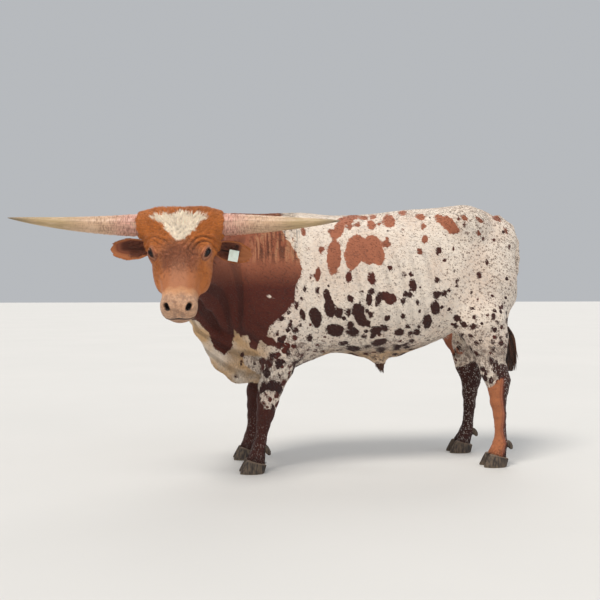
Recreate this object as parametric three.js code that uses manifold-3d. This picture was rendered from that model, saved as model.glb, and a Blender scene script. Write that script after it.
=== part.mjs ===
// Life-size Texas longhorn bull that stands still with its head turned to its left.
// Millimetres, Z up. The head end points to -X and the animal's left side to -Y.
// The flesh is one smooth form, meshed part by part and divided by thin cuts.
import * as THREE from 'three';
import { mergeVertices } from 'three/addons/utils/BufferGeometryUtils.js';
import Module from 'manifold-3d';

const wasm = await Module();
wasm.setup();

// Clearances and mesh steps
const GAP = 0.3;
const CUT = GAP / 2;
const SKIN_GAP = 0.5;
const WELD = 0.02;
const FAR = 3000;
const SETTLE_ROUNDS = 3;
const SETTLE_LIMIT = 14;
const PARTING_ROUNDS = 4;

// How softly the forms of the flesh join
const JOIN = {
  rod: 30, leg: 12, fold: 60, hollow: 60, neck: 130, crest: 70, dewlap: 80, limb: 55, head: 60,
  temple: 24, cheek: 30,
};

// Trunk sections from chest to rump: place along X, top, bottom, half width, widest height
const TRUNK = [
  [-330, 1262, 470, 150, 800],
  [-230, 1288, 452, 205, 850],
  [-110, 1315, 480, 244, 880],
  [30, 1332, 548, 266, 900],
  [200, 1333, 598, 284, 900],
  [380, 1343, 588, 292, 900],
  [560, 1366, 598, 286, 925],
  [720, 1378, 640, 268, 975],
  [850, 1392, 700, 248, 1040],
  [950, 1386, 735, 226, 1060],
  [1060, 1360, 760, 196, 1060],
  [1180, 1322, 800, 150, 1060],
];
const TRUNK_SQUARENESS = 2.25;
const CHEST_END = { point: [-405, 0, 820], normal: [-0.97, 0, -0.24], round: 170 };
const RUMP_END = { point: [1172, 0, 1100], normal: [0.98, 0, 0.2], round: 150 };

// Neck: centre, half width, height over width
const NECK = [
  [-60, 0, 950, 225, 1.45],
  [-270, -20, 975, 188, 1.66],
  [-430, -95, 1030, 158, 1.68],
  [-545, -240, 1078, 136, 1.62],
  [-600, -370, 1092, 126, 1.5],
];
// Crest over the neck and loose dewlap under it: centre and radius
const CREST = [
  [-500, -165, 1254, 60],
  [-340, -45, 1252, 62],
  [-150, 0, 1226, 70],
];
const DEWLAP = [
  [-560, -215, 842, 52],
  [-520, -110, 740, 48],
  [-462, -60, 640, 50],
  [-410, -25, 560, 58],
  [-330, 0, 505, 66],
  [-210, 0, 520, 74],
];

// Loose fold of skin under the belly, down to the sheath: centre and radius
const BELLY_FOLD = [
  [210, 0, 655, 44],
  [330, 0, 628, 46],
  [425, 0, 596, 48],
  [520, 0, 622, 45],
  [650, 0, 680, 40],
];

// Legs: place along X, height, front-to-back radius, side thickness over that radius
const FORE_LEG = [
  [-118, 640, 98, 0.72],
  [-138, 540, 84, 0.72],
  [-176, 440, 67, 0.74],
  [-192, 372, 60, 0.86],
  [-205, 294, 48, 0.86],
  [-216, 240, 38, 0.86],
  [-228, 165, 32, 1],
  [-236, 126, 39, 1.12],
  [-252, 66, 48, 1.14],
];
const HIND_LEG = [
  [945, 745, 138, 0.66],
  [972, 676, 116, 0.64],
  [988, 610, 88, 0.7],
  [992, 560, 76, 0.68],
  [1008, 505, 76, 0.6],
  [1030, 450, 70, 0.62],
  [1032, 405, 57, 0.76],
  [1031, 340, 46, 0.8],
  [1040, 270, 37, 0.88],
  [1045, 160, 33, 1],
  [1044, 122, 40, 1.12],
  [1026, 64, 48, 1.14],
];
// Each leg: side offset, and how far its knee or hock and its foot are shifted along X
const LEGS = {
  leg_fore_left: { sections: FORE_LEG, y: -186, middle: 0, foot: 0 },
  leg_fore_right: { sections: FORE_LEG, y: 178, middle: -24, foot: -6 },
  leg_hind_left: { sections: HIND_LEG, y: -200, middle: 0, foot: 0 },
  leg_hind_right: { sections: HIND_LEG, y: 206, middle: -8, foot: -62 },
};
const KNEE_HEIGHT = 380;
const LEG_TOP = 640;

// Feet
const HOOF = {
  front: 78, back: 44, length: 126, width: 60, split: 8, slope: 26, sides: 12,
  ahead: 12, behind: 8, levels: [0, 0.12, 1], sole: 0.95, narrowing: 0.2, inner: 0.78,
  toe: 0.16, leanIn: 3,
};
const DEWCLAW = {
  height: 118, side: 25, length: 27, radius: 14, flat: 0.8, lean: -0.5, back: 5, down: 4,
};

// Head: local X runs down the face, local Y to the animal's left, local Z out of the forehead
const HEAD_ORIGIN = new THREE.Vector3(-624, -520, 1235);
const HEAD_YAW = 83;
const HEAD_PITCH = 25;
const HEAD_ROLL = 0.6;
const HEAD_BACK_CUT = 128;
// Skull sections down the face: place, front, back, half width, widest depth
const SKULL = [
  [-90, 4, -110, 104, -46],
  [-30, 46, -135, 146, -38],
  [50, 60, -165, 160, -34],
  [130, 60, -188, 149, -34],
  [195, 54, -192, 132, -48],
  [260, 46, -174, 110, -56],
  [320, 40, -146, 91, -50],
  [385, 36, -116, 77, -40],
  [480, 30, -98, 72, -36],
];
const SKULL_SQUARENESS = 2.35;
const POLL_END = { point: [-74, 0, 0], normal: [-1, 0, 0.1], round: 60 };
const MUZZLE_END = { point: [372, 0, 42], normal: [0.61, 0, 0.79], round: 40 };
const CHIN_END = { point: [460, 0, -60], normal: [0.97, 0, -0.24], round: 36 };
// Bony bar between the horns, swollen by a little over the skull and run on past its reach
const YOKE = { place: 4, reach: 200, radius: 57, round: 55, swell: 8, past: 20 };

const EYE = { start: [168, 40, -8], way: [0.06, 0.84, 0.54], radius: 23, sink: 15 };
const LID = {
  length: 52, height: 38, width: 18, thickness: 9, tilt: 0.7, corner: 0.2, steps: 16, sides: 6,
};
const NOSTRIL = {
  start: [386, 30, -34], way: [0.6, 0.26, 0.76], radii: [20, 13, 24], lean: -0.45, sink: 6,
};
const MOUTH = {
  centre: 362, length: 98, half: 74, front: -48, corner: -66, depth: 11, gap: 4,
  turn: 1.75, steps: 14, past: 30, inner: 0.8, spread: 2,
};

const HORN = {
  base: 56,
  flatness: 0.94,
  power: 0.72,
  steps: 14,
  sides: 12,
  bend: { down: 12, out: 16, at: 0.5 },
  last: 0.995,
  tip: 3,
  left: { reach: 528, forward: 104, up: 5 },
  right: { reach: 566, forward: 118, up: 30 },
};
const EAR = {
  root: [103, 142, -46], length: 186, width: 98, thickness: 7, steps: 8, sides: 6,
  rootWidth: 0.5, tipTaper: 0.89, rootOpen: 1.35, tipOpen: 0.62, inside: 0.97,
  thinRim: 0.6, thinTip: 0.4,
};
const EAR_WAY = { left: [0.05, 0.9, -0.3], right: [0.02, -0.97, 0.02] };
const TAG = {
  width: 46, height: 52, thickness: 2.4, stud: 11, studThickness: 3, stem: 3, along: 0.52,
  behind: -0.8, ahead: 0.42, hang: 0.34,
};

// Tail along the back of the rump: place along X, height, radius
const TAIL = [
  [1098, 1308, 40],
  [1163, 1266, 36],
  [1196, 1190, 31],
  [1206, 1105, 27],
  [1202, 1035, 24],
  [1186, 955, 21],
  [1164, 860, 19],
  [1152, 790, 17],
  [1150, 735, 16],
];
const TAIL_FORM = { steps: 20, sides: 10, flat: 0.92 };
// Switch: core as drop and radius, then locks round it
const SWITCH = {
  top: 735, bottom: 474, x: 1150, tipX: 1206, core: [[CUT, 16.5], [40, 18], [110, 22], [185, 9]],
  locks: 9, turn: 2.4, first: 22, last: 120, ragged: 55, spread: 44, flat: 0.8,
  width: 46, thickness: 13,
};
const SHEATH = {
  front: [392, 600, 46], tip: [450, 532, 24], flat: 0.85, steps: 7, sides: 12,
  locks: 6, hair: 52, ragged: 12, width: 15, thickness: 7,
};
const SCROTUM = { x: 884, z: 652, radii: [46, 58, 82], neck: 30, neckRise: 40, steps: 10, sides: 12 };

const COLOURS = {
  coat: 0xd9c6b0, brown: 0x96512f, dark: 0x4a2015, horn: 0xc49a7c, hoof: 0x3a3028,
  eye: 0x140c08, tag: 0xdfe8df, hair: 0x2c1710, skin: 0x7a4a33,
};

// Signed distances and their smooth joins
function blend(a, b, round) {
  const overlap = Math.max(round - Math.abs(a - b), 0) / round;
  return Math.min(a, b) - overlap * overlap * round * 0.25;
}
function carve(a, b, round) {
  return -blend(-a, -b, round);
}
function mix(a, b, t) {
  return a + (b - a) * t;
}

// A rod through stations of centre and radius, stretched in height by the last value if any
function rods(stations) {
  return (x, y, z) => {
    let best = FAR;
    for (let i = 0; i < stations.length - 1; i++) {
      const a = stations[i];
      const b = stations[i + 1];
      const [ex, ey, ez] = [b[0] - a[0], b[1] - a[1], b[2] - a[2]];
      const along = (x - a[0]) * ex + (y - a[1]) * ey + (z - a[2]) * ez;
      const t = THREE.MathUtils.clamp(along / (ex * ex + ey * ey + ez * ez), 0, 1);
      const stretch = a.length > 4 ? mix(a[4], b[4], t) : 1;
      const dz = (z - a[2] - ez * t) / stretch;
      const d = Math.hypot(x - a[0] - ex * t, y - a[1] - ey * t, dz) - mix(a[3], b[3], t);
      best = blend(best, d, JOIN.rod);
    }
    return best;
  };
}

function egg([cx, cy, cz], [rx, ry, rz], leanDegrees = 0) {
  const lean = THREE.MathUtils.degToRad(leanDegrees);
  const [c, s] = [Math.cos(lean), Math.sin(lean)];
  return (x, y, z) => {
    const [dx, dy, dz] = [x - cx, y - cy, z - cz];
    const along = dx * c + dz * s;
    const across = dz * c - dx * s;
    const q = Math.hypot(along / rx, dy / ry, across / rz);
    const length = Math.hypot(dx, dy, dz);
    return q < 0.02 ? -Math.min(rx, ry, rz) : length * (1 - 1 / q);
  };
}

function endPlane({ point, normal }) {
  return (x, y, z) => (x - point[0]) * normal[0] + (y - point[1]) * normal[1]
    + (z - point[2]) * normal[2];
}

// Value of each column of a table at one place, on a smooth curve through its rows
function sectionAt(table, place) {
  const last = table.length - 1;
  if (place <= table[0][0]) return table[0];
  if (place >= table[last][0]) return table[last];
  let i = 0;
  while (place > table[i + 1][0]) i++;
  const [p1, p2] = [table[i], table[i + 1]];
  const p0 = table[Math.max(i - 1, 0)];
  const p3 = table[Math.min(i + 2, last)];
  const t = (place - p1[0]) / (p2[0] - p1[0]);
  return p1.map((value, column) => {
    const m1 = (p2[column] - p0[column]) * (p2[0] - p1[0]) / (p2[0] - p0[0]);
    const m2 = (p3[column] - value) * (p2[0] - p1[0]) / (p3[0] - p1[0]);
    const [t2, t3] = [t * t, t * t * t];
    return (2 * t3 - 3 * t2 + 1) * value + (t3 - 2 * t2 + t) * m1
      + (3 * t2 - 2 * t3) * p2[column] + (t3 - t2) * m2;
  });
}

function loft(table, squareness) {
  return (along, side, up) => {
    const [, top, bottom, half, middle] = sectionAt(table, along);
    const height = up > middle ? top - middle : middle - bottom;
    const across = Math.abs(side) / half;
    const rise = Math.abs(up - middle) / height;
    const q = (across ** squareness + rise ** squareness) ** (1 / squareness);
    const length = Math.hypot(side, up - middle);
    return q < 0.05 ? -Math.min(half, height) : length * (1 - 1 / q);
  };
}

// One leg is a rod whose side thickness changes on its way down
function legForm({ sections, y, middle, foot }) {
  const stations = sections.map(([x, z, radius, flat]) => {
    const low = THREE.MathUtils.clamp((KNEE_HEIGHT - z) / KNEE_HEIGHT, 0, 1);
    const high = THREE.MathUtils.clamp((LEG_TOP - z) / (LEG_TOP - KNEE_HEIGHT), 0, 1);
    return [x + middle * high * (1 - low) + foot * low, z, radius, flat];
  });
  return (px, py, pz) => {
    let best = FAR;
    for (let i = 0; i < stations.length - 1; i++) {
      const a = stations[i];
      const b = stations[i + 1];
      const [ex, ez] = [b[0] - a[0], b[1] - a[1]];
      const along = ((px - a[0]) * ex + (pz - a[1]) * ez) / (ex * ex + ez * ez);
      const t = THREE.MathUtils.clamp(along, 0, 1);
      const side = (py - y) / mix(a[3], b[3], t);
      const d = Math.hypot(px - a[0] - ex * t, side, pz - a[1] - ez * t) - mix(a[2], b[2], t);
      best = blend(best, d, JOIN.leg);
    }
    return best;
  };
}

const trunkLoft = loft(TRUNK, TRUNK_SQUARENESS);
const chestEnd = endPlane(CHEST_END);
const rumpEnd = endPlane(RUMP_END);
const neckForm = rods(NECK);
const crestForm = rods(CREST);
const dewlapForm = rods(DEWLAP);
const foldForm = rods(BELLY_FOLD);
const legForms = Object.fromEntries(
  Object.entries(LEGS).map(([name, leg]) => [name, legForm(leg)]),
);
// Muscles and bones on one side: form, then how softly it joins
const MUSCLES = [
  [egg([-150, 176, 1010], [130, 80, 270], -14), 70],
  [egg([-205, 158, 760], [120, 88, 130], 0), 70],
  [egg([-85, 178, 690], [95, 78, 120], 0), 50],
  [egg([850, 168, 1290], [120, 82, 86], 0), 90],
  [egg([1082, 92, 1200], [88, 66, 88], 0), 80],
  [egg([985, 132, 930], [150, 100, 270], -10), 80],
  [egg([884, 166, 815], [100, 76, 130], 20), 70],
];
const FLANK_HOLLOW = egg([700, 330, 1120], [95, 62, 120], 20);
const SHOULDER_HOLLOW = egg([30, 330, 1150], [60, 62, 190], -8);

function trunk(x, y, z) {
  const side = Math.abs(y);
  let d = blend(trunkLoft(x, y, z), foldForm(x, y, z), JOIN.fold);
  d = carve(d, chestEnd(x, y, z), CHEST_END.round);
  d = carve(d, rumpEnd(x, y, z), RUMP_END.round);
  for (const [form, round] of MUSCLES) {
    d = blend(d, form(x, side, z), round);
  }
  d = carve(d, -FLANK_HOLLOW(x, side, z), JOIN.hollow);
  return carve(d, -SHOULDER_HOLLOW(x, side, z), JOIN.hollow);
}

const skullLoft = loft(SKULL, SKULL_SQUARENESS);
const pollEnd = endPlane(POLL_END);
const muzzleEnd = endPlane(MUZZLE_END);
const chinEnd = endPlane(CHIN_END);
const yokeForm = rods([
  [YOKE.place, -YOKE.reach - YOKE.past, 0, YOKE.radius],
  [YOKE.place - YOKE.swell, -YOKE.reach / 2, 2, YOKE.radius + YOKE.swell],
  [YOKE.place - YOKE.swell, YOKE.reach / 2, 2, YOKE.radius + YOKE.swell],
  [YOKE.place, YOKE.reach + YOKE.past, 0, YOKE.radius],
]);
// Forms of the face on one side: form, then how softly it joins
const FACE = [
  [egg([150, 112, 14], [62, 34, 40], 0), 30],
  [egg([215, 92, -104], [80, 38, 78], -20), 44],
  [egg([408, 34, -14], [46, 46, 46], 0), 30],
  [egg([414, 0, -80], [44, 50, 28], -8), 22],
  [egg([100, 140, -46], [34, 30, 34], 0), 26],
];
const TEMPLE_HOLLOW = egg([112, 196, 14], [34, 42, 34], 0);
const CHEEK_HOLLOW = egg([310, 140, -20], [60, 46, 36], 0);

function skull(u, v, w) {
  const side = Math.abs(v);
  let d = skullLoft(u, v, w);
  d = carve(d, pollEnd(u, v, w), POLL_END.round);
  d = carve(d, muzzleEnd(u, v, w), MUZZLE_END.round);
  d = carve(d, chinEnd(u, v, w), CHIN_END.round);
  d = blend(d, yokeForm(u, v, w), YOKE.round);
  for (const [form, round] of FACE) {
    d = blend(d, form(u, side, w), round);
  }
  d = carve(d, -TEMPLE_HOLLOW(u, side, w), JOIN.temple);
  return carve(d, -CHEEK_HOLLOW(u, side, w), JOIN.cheek);
}

// Place of the head on the body
function headPlace() {
  const yaw = THREE.MathUtils.degToRad(HEAD_YAW);
  const pitch = THREE.MathUtils.degToRad(HEAD_PITCH);
  const up = new THREE.Vector3(0, 0, 1);
  const forward = new THREE.Vector3(-Math.cos(yaw), -Math.sin(yaw), 0);
  const down = forward.clone().multiplyScalar(Math.sin(pitch));
  down.addScaledVector(up, -Math.cos(pitch));
  const left = new THREE.Vector3().crossVectors(up, forward);
  const roll = THREE.MathUtils.degToRad(HEAD_ROLL);
  down.applyAxisAngle(forward, roll);
  left.applyAxisAngle(forward, roll);
  const out = new THREE.Vector3().crossVectors(down, left);
  const matrix = new THREE.Matrix4().makeBasis(down, left, out).setPosition(HEAD_ORIGIN);
  return { matrix, forward };
}
const { matrix: HEAD_MATRIX, forward: HEAD_FORWARD } = headPlace();
const HEAD_INVERSE = HEAD_MATRIX.clone().invert();

function mapPoint(matrix, x, y, z) {
  const e = matrix.elements;
  return [
    e[0] * x + e[4] * y + e[8] * z + e[12],
    e[1] * x + e[5] * y + e[9] * z + e[13],
    e[2] * x + e[6] * y + e[10] * z + e[14],
  ];
}

// The whole animal's flesh as one smooth distance
function flesh(x, y, z) {
  let d = trunk(x, y, z);
  d = blend(d, neckForm(x, y, z), JOIN.neck);
  d = blend(d, crestForm(x, y, z), JOIN.crest);
  d = blend(d, dewlapForm(x, y, z), JOIN.dewlap);
  for (const form of Object.values(legForms)) {
    d = blend(d, form(x, y, z), JOIN.limb);
  }
  return blend(d, skull(...mapPoint(HEAD_INVERSE, x, y, z)), JOIN.head);
}
function fleshInHead(u, v, w) {
  return flesh(...mapPoint(HEAD_MATRIX, u, v, w));
}

// Grid lines from one end to the other with a step that may be finer in named stretches
function lines(from, to, step, fine = []) {
  const list = [from];
  while (list[list.length - 1] < to) {
    const here = list[list.length - 1];
    const stretch = fine.find(([a, b]) => here >= a && here < b);
    list.push(here + (stretch ? stretch[2] : step));
  }
  return list;
}

function slope(field, x, y, z) {
  const h = 0.5;
  return [
    field(x + h, y, z) - field(x - h, y, z),
    field(x, y + h, z) - field(x, y - h, z),
    field(x, y, z + h) - field(x, y, z - h),
  ];
}

// Closed mesh of the surface where the field equals level, one corner in each crossed cell
function skinOver(field, [xs, ys, zs], level = 0) {
  const [nx, ny, nz] = [xs.length, ys.length, zs.length];
  const at = (i, j, k) => (k * ny + j) * nx + i;
  const value = new Float64Array(nx * ny * nz);
  for (let k = 0; k < nz; k++) {
    for (let j = 0; j < ny; j++) {
      for (let i = 0; i < nx; i++) {
        const rim = i * j * k === 0 || i === nx - 1 || j === ny - 1 || k === nz - 1;
        const d = field(xs[i], ys[j], zs[k]) - level;
        value[at(i, j, k)] = rim ? Math.max(d, 1) : d;
      }
    }
  }
  for (let round = 0; round < PARTING_ROUNDS; round++) {
    partCrossedFaces(value, at, [nx, ny, nz]);
  }
  const corners = [];
  const cornerOf = new Int32Array(nx * ny * nz).fill(-1);
  for (let k = 0; k < nz - 1; k++) {
    for (let j = 0; j < ny - 1; j++) {
      for (let i = 0; i < nx - 1; i++) {
        const crossing = cellCrossing(value, at, [xs, ys, zs], [i, j, k]);
        if (crossing) {
          cornerOf[at(i, j, k)] = corners.length / 3;
          corners.push(...settle(field, crossing, level));
        }
      }
    }
  }
  const faces = [];
  const steps = [[1, 0, 0], [0, 1, 0], [0, 0, 1]];
  for (let k = 1; k < nz - 1; k++) {
    for (let j = 1; j < ny - 1; j++) {
      for (let i = 1; i < nx - 1; i++) {
        for (let axis = 0; axis < 3; axis++) {
          addQuad(faces, corners, value, at, cornerOf, [i, j, k], steps, axis);
          if (i === 1 || j === 1 || k === 1) {
            const back = [i, j, k].map((place, a) => place - steps[axis][a]);
            if (back[axis] === 0) {
              addQuad(faces, corners, value, at, cornerOf, back, steps, axis);
            }
          }
        }
      }
    }
  }
  return { vertProperties: new Float32Array(corners), triVerts: new Uint32Array(faces) };
}

// Where a cell face has opposite corners alike, the surface would meet itself along one edge:
// the weakest of the four corners changes side instead
function partCrossedFaces(value, at, [nx, ny, nz]) {
  const turns = [[1, 0, 0, 0, 1, 0], [0, 1, 0, 0, 0, 1], [0, 0, 1, 1, 0, 0]];
  for (let k = 1; k < nz - 2; k++) {
    for (let j = 1; j < ny - 2; j++) {
      for (let i = 1; i < nx - 2; i++) {
        for (const [a, b, c, d, e, f] of turns) {
          const face = [
            at(i, j, k), at(i + a, j + b, k + c),
            at(i + a + d, j + b + e, k + c + f), at(i + d, j + e, k + f),
          ];
          const inside = face.map((n) => value[n] < 0);
          if (inside[0] !== inside[2] || inside[1] !== inside[3] || inside[0] === inside[1]) {
            continue;
          }
          const weakest = face.reduce((m, n) => (Math.abs(value[n]) < Math.abs(value[m]) ? n : m));
          value[weakest] = value[weakest] < 0 ? 0.01 : -0.01;
        }
      }
    }
  }
}

function cellCrossing(value, at, grid, [i, j, k]) {
  const sum = [0, 0, 0];
  let count = 0;
  const corner = (n) => [i + (n & 1), j + ((n >> 1) & 1), k + ((n >> 2) & 1)];
  for (let n = 0; n < 8; n++) {
    for (const bit of [1, 2, 4]) {
      if (n & bit) continue;
      const [a, b] = [corner(n), corner(n | bit)];
      const [va, vb] = [value[at(...a)], value[at(...b)]];
      if ((va < 0) === (vb < 0)) continue;
      const t = va / (va - vb);
      for (let axis = 0; axis < 3; axis++) {
        sum[axis] += mix(grid[axis][a[axis]], grid[axis][b[axis]], t);
      }
      count++;
    }
  }
  return count ? sum.map((total) => total / count) : null;
}

// Moves a corner along the slope until it lies on the surface
function settle(field, point, level) {
  let p = point;
  for (let round = 0; round < SETTLE_ROUNDS; round++) {
    const d = field(...p) - level;
    const g = slope(field, ...p);
    const size = g[0] * g[0] + g[1] * g[1] + g[2] * g[2];
    if (Math.abs(d) > SETTLE_LIMIT || size < 0.01) return p;
    p = p.map((c, axis) => c - d * g[axis] / size);
  }
  return p;
}

function addQuad(faces, corners, value, at, cornerOf, place, steps, axis) {
  const next = place.map((c, a) => c + steps[axis][a]);
  const [here, there] = [value[at(...place)], value[at(...next)]];
  if ((here < 0) === (there < 0)) return;
  const [p, q] = [steps[(axis + 1) % 3], steps[(axis + 2) % 3]];
  const cell = (m, n) => cornerOf[at(...place.map((c, a) => c - m * p[a] - n * q[a]))];
  let quad = [cell(1, 1), cell(0, 1), cell(0, 0), cell(1, 0)];
  if (here > 0) quad = quad.reverse();
  const span = (a, b) => Math.hypot(
    corners[3 * a] - corners[3 * b],
    corners[3 * a + 1] - corners[3 * b + 1],
    corners[3 * a + 2] - corners[3 * b + 2],
  );
  const [a, b, c, d] = quad;
  if (span(a, c) < span(b, d)) {
    faces.push(a, b, c, a, c, d);
  } else {
    faces.push(a, b, d, b, c, d);
  }
}

// Between solids, plain geometries and meshes
function solidFrom(data) {
  return new wasm.Manifold(new wasm.Mesh({ numProp: 3, ...data }));
}
function solidOf(geometry, matrix = new THREE.Matrix4()) {
  const bare = geometry.clone();
  bare.deleteAttribute('normal');
  bare.deleteAttribute('uv');
  const merged = mergeVertices(bare.applyMatrix4(matrix), 1e-4);
  return solidFrom({
    vertProperties: new Float32Array(merged.attributes.position.array),
    triVerts: new Uint32Array(merged.index.array),
  });
}
function largest(solid) {
  const pieces = solid.decompose();
  return pieces.reduce((best, piece) => (piece.volume() > best.volume() ? piece : best));
}
// Joins corners that a cut left closer than the weld and drops the faces that this flattens
function welded(solid) {
  const data = solid.getMesh();
  const loose = new THREE.BufferGeometry();
  loose.setAttribute('position', new THREE.BufferAttribute(data.vertProperties, 3));
  loose.setIndex(new THREE.BufferAttribute(data.triVerts, 1));
  const geometry = mergeVertices(loose, WELD);
  const index = Array.from(geometry.index.array);
  const kept = new Map();
  for (let i = 0; i < index.length; i += 3) {
    const [a, b, c] = index.slice(i, i + 3);
    if (a === b || b === c || a === c) continue;
    const key = [a, b, c].sort((m, n) => m - n).join();
    if (kept.has(key)) kept.delete(key);
    else kept.set(key, [a, b, c]);
  }
  geometry.setIndex([...kept.values()].flat());
  return geometry;
}
function meshOf(name, solid, colour, roughness = 0.8) {
  const geometry = welded(largest(solid));
  geometry.computeVertexNormals();
  const material = new THREE.MeshStandardMaterial({ color: colour, roughness });
  const mesh = new THREE.Mesh(geometry, material);
  mesh.name = name;
  return mesh;
}
function block([x0, y0, z0], [x1, y1, z1]) {
  const shape = new THREE.BoxGeometry(x1 - x0, y1 - y0, z1 - z0);
  return solidOf(shape.translate((x0 + x1) / 2, (y0 + y1) / 2, (z0 + z1) / 2));
}
// Large block whose one face lies on a plane and which fills the side that the normal leaves
function halfSpace(point, normal) {
  const shape = new THREE.BoxGeometry(FAR * 2, FAR * 2, FAR * 2).translate(0, 0, -FAR);
  const way = new THREE.Vector3(...normal).normalize();
  const turn = new THREE.Quaternion().setFromUnitVectors(new THREE.Vector3(0, 0, 1), way);
  const place = new THREE.Matrix4().makeRotationFromQuaternion(turn);
  return solidOf(shape, place.setPosition(...point));
}
// Closed tube through rings of points, each ring with the same number of points
function tubeThrough(rings) {
  const count = rings[0].length;
  const positions = rings.flat();
  const faces = [];
  for (let i = 0; i < rings.length - 1; i++) {
    for (let j = 0; j < count; j++) {
      const next = (j + 1) % count;
      const [a, b] = [i * count + j, i * count + next];
      faces.push(a, b, b + count, a, b + count, a + count);
    }
  }
  for (const [start, turned] of [[0, true], [(rings.length - 1) * count, false]]) {
    positions.push(middleOf(rings[start / count]));
    for (let j = 0; j < count; j++) {
      const pair = [start + j, start + (j + 1) % count];
      if (turned) pair.reverse();
      faces.push(...pair, positions.length - 1);
    }
  }
  return outward(positions.flat(), faces);
}
function outward(numbers, faces) {
  const build = (list) => solidFrom({
    vertProperties: new Float32Array(numbers),
    triVerts: new Uint32Array(list),
  });
  const solid = build(faces);
  return solid.volume() > 0 ? solid : build([...faces].reverse());
}
function middleOf(points) {
  return [0, 1, 2].map((axis) => points.reduce((sum, p) => sum + p[axis], 0) / points.length);
}
function joined(solids) {
  return solids.reduce((whole, solid) => whole.add(solid));
}
// Oval ring about a point, square to a direction, with one named way across
function ring(centre, across, side, radiusAcross, radiusSide, sides) {
  return Array.from({ length: sides }, (_, n) => {
    const angle = (2 * Math.PI * n) / sides;
    const [c, s] = [Math.cos(angle) * radiusAcross, Math.sin(angle) * radiusSide];
    return centre.clone().addScaledVector(across, c).addScaledVector(side, s).toArray();
  });
}
function reach(field, start, way, far = 200) {
  let [inside, outside] = [0, far];
  for (let round = 0; round < 40; round++) {
    const middle = (inside + outside) / 2;
    const d = field(...start.map((c, axis) => c + way[axis] * middle));
    if (d < 0) inside = middle;
    else outside = middle;
  }
  return start.map((c, axis) => c + way[axis] * inside);
}
// Repeatable draw between 0 and 1
function draw(n) {
  const wave = Math.sin(n * 127.1 + 11.7) * 43758.5453;
  return wave - Math.floor(wave);
}
// Flat tapered lock of hair that bends through its points
function lock(points, width, thickness, facing) {
  const curve = new THREE.CatmullRomCurve3(points);
  const face = new THREE.Vector3(...facing).normalize();
  const steps = 4;
  const rings = [];
  for (let i = 0; i <= steps; i++) {
    const t = i / steps;
    const way = curve.getTangent(t);
    const side = new THREE.Vector3().crossVectors(way, face).normalize();
    const out = new THREE.Vector3().crossVectors(side, way).normalize();
    const taper = Math.sin(Math.PI * (0.28 + 0.7 * t)) ** 0.8 + 0.06;
    const half = (width / 2) * taper;
    const thick = (thickness / 2) * taper + 0.5;
    rings.push(ring(curve.getPoint(t), side, out, half, thick, 4));
  }
  return tubeThrough(rings);
}

// Cuts between trunk, neck, head and legs
const NECK_CUT = { point: [-245, 0, 960], normal: [-0.93, -0.05, 0.35] };
const HEAD_CUT_POINT = HEAD_ORIGIN.clone().addScaledVector(HEAD_FORWARD, -HEAD_BACK_CUT);
const LEG_CUTS = {
  leg_fore_left: [[-420, -420, -10], [40, -84, 560]],
  leg_fore_right: [[-420, 84, -10], [40, 420, 560]],
  leg_hind_left: [[760, -420, -10], [1300, -30, 715]],
  leg_hind_right: [[760, 30, -10], [1300, 420, 715]],
};
function shifted(point, normal, by) {
  const size = Math.hypot(...normal);
  return point.map((c, axis) => c + (normal[axis] / size) * by);
}

const TRUNK_GRID = [lines(-572, 1320, 66), lines(-396, 396, 66), lines(384, 1480, 62)];
function trunkSolid() {
  let solid = solidFrom(skinOver(flesh, TRUNK_GRID));
  const { point, normal } = NECK_CUT;
  solid = solid.intersect(halfSpace(shifted(point, normal, -CUT), normal));
  for (const [low, high] of Object.values(LEG_CUTS)) {
    solid = solid.subtract(block(low.map((c) => c - CUT), high.map((c) => c + CUT)));
  }
  return solid;
}
const NECK_GRID = [lines(-860, 60, 52), lines(-540, 330, 52), lines(400, 1440, 54)];
function neckSolid() {
  let solid = solidFrom(skinOver(flesh, NECK_GRID));
  const { point, normal } = NECK_CUT;
  solid = solid.subtract(halfSpace(shifted(point, normal, CUT), normal));
  const back = HEAD_FORWARD.toArray();
  return solid.intersect(halfSpace(shifted(HEAD_CUT_POINT.toArray(), back, -CUT), back));
}
// Grid round a leg: steps, reach to each side of it, lowest and highest line, finer stretches
const LEG_GRID = {
  step: [24, 24, 40], reach: [190, 192], low: 28, high: 790, fine: [[28, 150, 23], [380, 790, 42]],
};
function legGrid(name) {
  const { sections, y, foot } = LEGS[name];
  const xs = sections.map(([x]) => x);
  const { step: [dx, dy, dz], reach: [reachX, reachY], low, high, fine } = LEG_GRID;
  return [
    lines(Math.min(...xs) - reachX + Math.min(foot, 0), Math.max(...xs) + reachX, dx),
    lines(y - reachY, y + reachY, dy),
    lines(low, high, dz, fine),
  ];
}
function footPlane(name) {
  const { sections, foot } = LEGS[name];
  const x = sections[sections.length - 1][0] + foot;
  const drop = (HOOF.front - HOOF.back) / HOOF.length;
  const height = (px) => (HOOF.front + HOOF.back) / 2 - drop * (px - x + HOOF.behind);
  return { x, height, normal: [drop, 0, 1] };
}
function legSolid(name, level = 0) {
  const field = (x, y, z) => blend(trunk(x, y, z), legForms[name](x, y, z), JOIN.limb);
  let solid = solidFrom(skinOver(field, legGrid(name), level));
  const [low, high] = LEG_CUTS[name];
  solid = solid.intersect(block(low.map((c) => c + CUT), high.map((c) => c - CUT)));
  const { x, height, normal } = footPlane(name);
  return solid.subtract(halfSpace([x, 0, height(x) + CUT], normal));
}

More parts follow.
